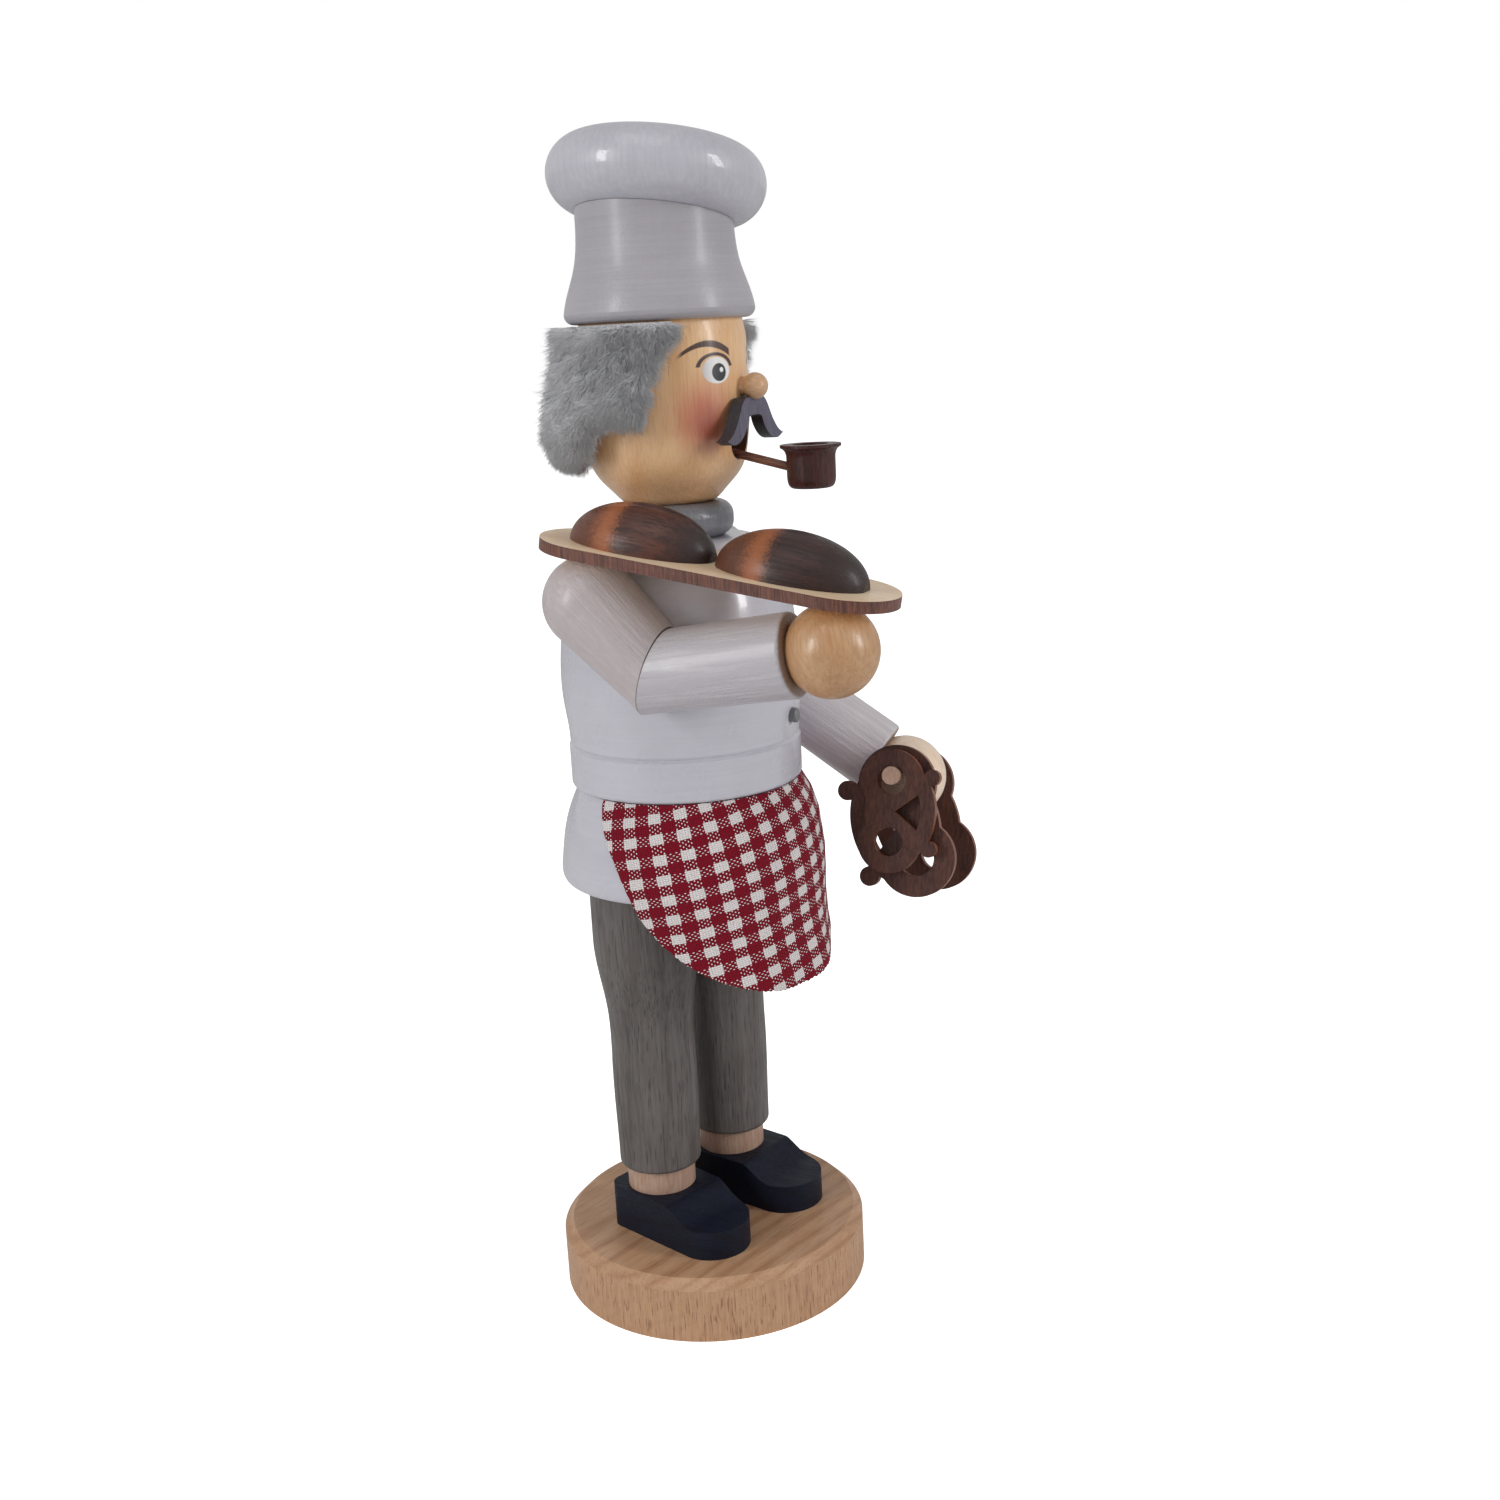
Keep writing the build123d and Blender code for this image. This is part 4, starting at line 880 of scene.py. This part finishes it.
class SMOKER_OT_hair(bpy.types.Operator):
    """Glue the strip of fur round the back of the head"""

    bl_idname = "smoker.hair"
    bl_label = "Glue on hair"

    def execute(self, context):
        sizes = context.scene.smoker_sizes
        material = self.fur(context)
        strip = self.strip(material)
        right = self.hairs("hair_fur_right", -1, sizes, material)
        left = self.hairs("hair_fur_left", 1, sizes, material)
        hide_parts("hair")
        for piece in (strip, right, left):
            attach(piece, "upper_body")
        return {"FINISHED"}

    def strip(self, material):
        """Closed skin of the strip: the section's loops, closed by a face at each temple, all turned to face out."""
        columns, count = 220, 44
        around = np.linspace(-1, 1, columns)[:, None]
        loop = np.linspace(0, 2 * math.pi, count, endpoint=False)[None, :]
        faces = grid_quads(columns, count, wrap_columns=True).tolist()
        faces.append(list(range(count)))
        faces.append(list(range(columns * count - 1, (columns - 1) * count - 1, -1)))
        faces = [[face[0], *face[:0:-1]] for face in faces]
        return self.fur_piece("hair_strip", fur_surface(around, loop), faces, np.full(columns * count, 0.55), material)

    def fur_piece(self, name, points, faces, tones, material):
        """Mesh with a tone at each point."""
        piece = surface_mesh(name, points, faces)
        tone = piece.data.attributes.new("tone", "FLOAT", "POINT")
        tone.data.foreach_set("value", tones.astype(np.float32).ravel())
        piece.data.materials.append(material)
        return piece

    def hairs(self, name, side, sizes, material):
        """Each hair is a closed three-sided spike from the skin, leaning down and forward with its neighbours."""
        dice = np.random.default_rng(FUR_SEED + side)
        count = sizes.fur_count
        around = dice.uniform(0, 1, count) * side
        outer_side = dice.random(count) < FUR_OUTER_SHARE
        loop = np.where(
            outer_side, dice.uniform(0.02, math.pi - 0.02, count), dice.uniform(-0.6, math.pi + 0.6, count)
        )
        edge = dice.random(count) < FUR_EDGE_SHARE
        around = np.where(edge, side * dice.uniform(0.985, 1.0, count), around)
        root = fur_surface(around, loop)
        step = 1e-3
        sideways = fur_surface(np.clip(around + step, -1, 1), loop) - fur_surface(np.clip(around - step, -1, 1), loop)
        upward = fur_surface(around, loop + step) - fur_surface(around, loop - step)
        normal = unit(np.cross(sideways, upward))
        outward = unit(root * np.array([1, 1, 0]))
        flip = np.sum(normal * outward, axis=1, keepdims=True)
        normal = np.where((flip < 0) & (np.abs(flip) > 0.2), -normal, normal)
        front = np.where(edge[:, None], np.array([0.0, -1.0, 0.0]), np.array([0.0, -0.12, 0.0]))
        x, y, z = root.T
        clump = np.stack(
            [
                np.sin(x * 1.1 + z * 0.9) + 0.6 * np.sin(y * 2.3 + 1),
                np.sin(y * 1.3 - z * 0.7 + 2) + 0.6 * np.sin(x * 1.9),
                np.sin(z * 1.7 + x * 0.6) * 0.8,
            ],
            -1,
        )
        ways = {"normal": normal, "outward": outward, "front": front, "clump": clump}
        lean = sum(ways[key] * FUR_LEAN[key] for key in ways) + dice.normal(0, FUR_LEAN["stray"], (count, 3))
        way = unit(lean + np.array([0, 0, -FUR_LEAN["droop"]]))
        tip = root + way * (sizes.fur_length / MM * dice.uniform(0.55, 1.3, count)[:, None])
        rise = np.clip(np.hypot(tip[:, 0], tip[:, 1]) - HAIR_RISE_RADIUS, 0, 1)
        tip[:, 2] = np.minimum(tip[:, 2], HAIR_TOP + 0.1 + rise - dice.uniform(0, 0.8, count) ** 2)
        first = unit(np.cross(way, np.array([0.3, 0.2, 1.0])))
        second = np.cross(way, first)
        angles = (np.arange(3) * 2 * math.pi / 3)[None, :, None]
        rim = first[:, None] * np.cos(angles) + second[:, None] * np.sin(angles)
        thick = sizes.fur_radius / MM * dice.uniform(0.7, 1.2, count)[:, None, None]
        points = np.concatenate([(root - way * FUR_ROOT_DEPTH)[:, None] + rim * thick, tip[:, None]], axis=1)
        start = np.arange(count)[:, None] * 4
        spike = ((0, 1, 3), (1, 2, 3), (2, 0, 3), (2, 1, 0))
        faces = np.concatenate([start + np.array([face]) for face in spike]).tolist()
        shade = dice.normal(*FUR_TONE, count)[:, None] + np.array([[1, 1, 1, -1]]) * FUR_ROOT_TONE
        return self.fur_piece(name, points, faces, np.clip(shade, 0, 1), material)

    def fur(self, context):
        """Grey-white fur, darker at the roots, mottled in patches."""
        colours = context.scene.smoker_colours
        finish = Finish("grey_fur", sheen=0.5, specular=0.4)
        tone = finish.graph.add("Attribute", {}, out=2, attribute_name="tone")
        point = finish.graph.millimetres()
        patches = point.noise(0.35, 3, 0.6).span(0.35, 0.7)
        fine = (point * (1, 1, 0.4)).noise(3.0, 3, 0.7)
        shade = tone * 0.95 + patches * 0.12 + fine * 0.2 - 0.22
        finish.colour = finish.graph.mix(shade.clamped(), colours.fur_light, colours.fur_dark)
        finish.height = fine
        finish.rough = fine * 0.2 + 0.65
        return finish.done(relief=0.25)


class SMOKER_OT_stage(bpy.types.Operator):
    """Set the pale floor, the soft lights and the camera"""

    bl_idname = "smoker.stage"
    bl_label = "Set stage"

    def execute(self, context):
        self.floor(context)
        self.lights(context)
        self.camera(context)
        return {"FINISHED"}

    def floor(self, context):
        """Flat disc: rings of points whose radius grows as the square of the ring's number."""
        rings, count = 12, 64
        radius = context.scene.smoker_sizes.floor_radius / MM * (np.linspace(0.02, 1, rings) ** 2)[:, None]
        angle = np.linspace(0, 2 * math.pi, count, endpoint=False)[None, :]
        points = np.stack([radius * np.cos(angle), radius * np.sin(angle), np.zeros((rings, count))], -1)
        faces = grid_quads(rings, count, wrap_columns=True).tolist() + [list(range(count))]
        floor = surface_mesh("floor", points, faces)
        finish = Finish("pale_floor", specular=0.2)
        finish.shader["Emission Color"].default_value = (1, 1, 1, 1)
        seen = finish.graph.add("LightPath", {}, out="Is Camera Ray")
        finish.graph.feed(finish.shader["Emission Strength"], seen * 0.9)
        finish.rough = 0.6
        finish.height = finish.graph.millimetres().noise(0.2, 3)
        finish.colour = finish.graph.mix(finish.height, (0.90, 0.90, 0.90, 1), (0.92, 0.92, 0.92, 1))
        floor.data.materials.append(finish.done(relief=0.01))

    def lights(self, context):
        """A white room, two tall soft boxes left and right of the camera and one above, aimed at the figure."""
        world = bpy.data.worlds.new("studio")
        context.scene.world = world
        world.use_nodes = True
        graph = Graph(world.node_tree)
        background = world.node_tree.nodes["Background"].inputs
        background["Color"].default_value = (1.0, 1.0, 1.0, 1)
        seen, mirrored = (graph.add("LightPath", {}, out=ray) for ray in ("Is Camera Ray", "Is Glossy Ray"))
        graph.feed(background["Strength"], seen * 0.70 + mirrored * 0.30 + 0.30)
        for name, (azimuth, height, distance, width, tall, power) in SOFT_BOXES.items():
            data = bpy.data.lights.new(name, "AREA")
            data.shape = "RECTANGLE"
            data.size = width
            data.size_y = tall
            data.energy = power
            lamp = bpy.data.objects.new(name, data)
            turn = math.radians(azimuth)
            place = Vector((math.sin(turn) * distance, -math.cos(turn) * distance, height))
            lamp.location = place
            lamp.rotation_euler = (Vector(LIGHT_TARGET) - place).to_track_quat("-Z", "Y").to_euler()
            context.scene.collection.objects.link(lamp)

    def camera(self, context):
        """The photograph's viewpoint, solved from the round base, belt and hat: place, turn and focal length."""
        data = bpy.data.cameras.new("camera")
        data.sensor_width = 36.0
        data.lens = 40.8
        right = Vector((0.3917945, -0.91870292, -0.04981983))
        up = Vector((0.23702215, 0.04846405, 0.97029467))
        back = right.cross(up)
        camera = bpy.data.objects.new("camera", data)
        turn = Matrix((right, up, back)).transposed().to_4x4()
        camera.matrix_world = Matrix.Translation((-0.27631135, -0.13476605, 0.17901382)) @ turn
        context.scene.collection.objects.link(camera)
        context.scene.camera = camera
        context.scene.view_settings.view_transform = "Standard"


class SMOKER_PT_panel(bpy.types.Panel):
    """Sidebar panel with the steps in order and their settings."""

    bl_label = "Incense Smoker"
    bl_idname = "SMOKER_PT_panel"
    bl_space_type = "VIEW_3D"
    bl_region_type = "UI"
    bl_category = "Smoker"

    def draw(self, context):
        for operator in OPERATORS:
            self.layout.operator(operator.bl_idname)
        for group in (context.scene.smoker_sizes, context.scene.smoker_colours):
            box = self.layout.box()
            for name in group.__annotations__:
                box.prop(group, name)


OPERATORS = (
    SMOKER_OT_effects,
    SMOKER_OT_jacket,
    SMOKER_OT_lower_half,
    SMOKER_OT_face,
    SMOKER_OT_wares,
    SMOKER_OT_apron,
    SMOKER_OT_hair,
    SMOKER_OT_stage,
)
CLASSES = (SmokerSizes, SmokerColours, *OPERATORS, SMOKER_PT_panel)


def register():
    for item in CLASSES:
        bpy.utils.register_class(item)
    bpy.types.Scene.smoker_sizes = bpy.props.PointerProperty(type=SmokerSizes)
    bpy.types.Scene.smoker_colours = bpy.props.PointerProperty(type=SmokerColours)


def unregister():
    del bpy.types.Scene.smoker_colours
    del bpy.types.Scene.smoker_sizes
    for item in reversed(CLASSES):
        bpy.utils.unregister_class(item)


def main():
    """Runs every step in order."""
    register()
    for operator in OPERATORS:
        group, name = operator.bl_idname.split(".")
        getattr(getattr(bpy.ops, group), name)()


if __name__ == "__main__":
    main()
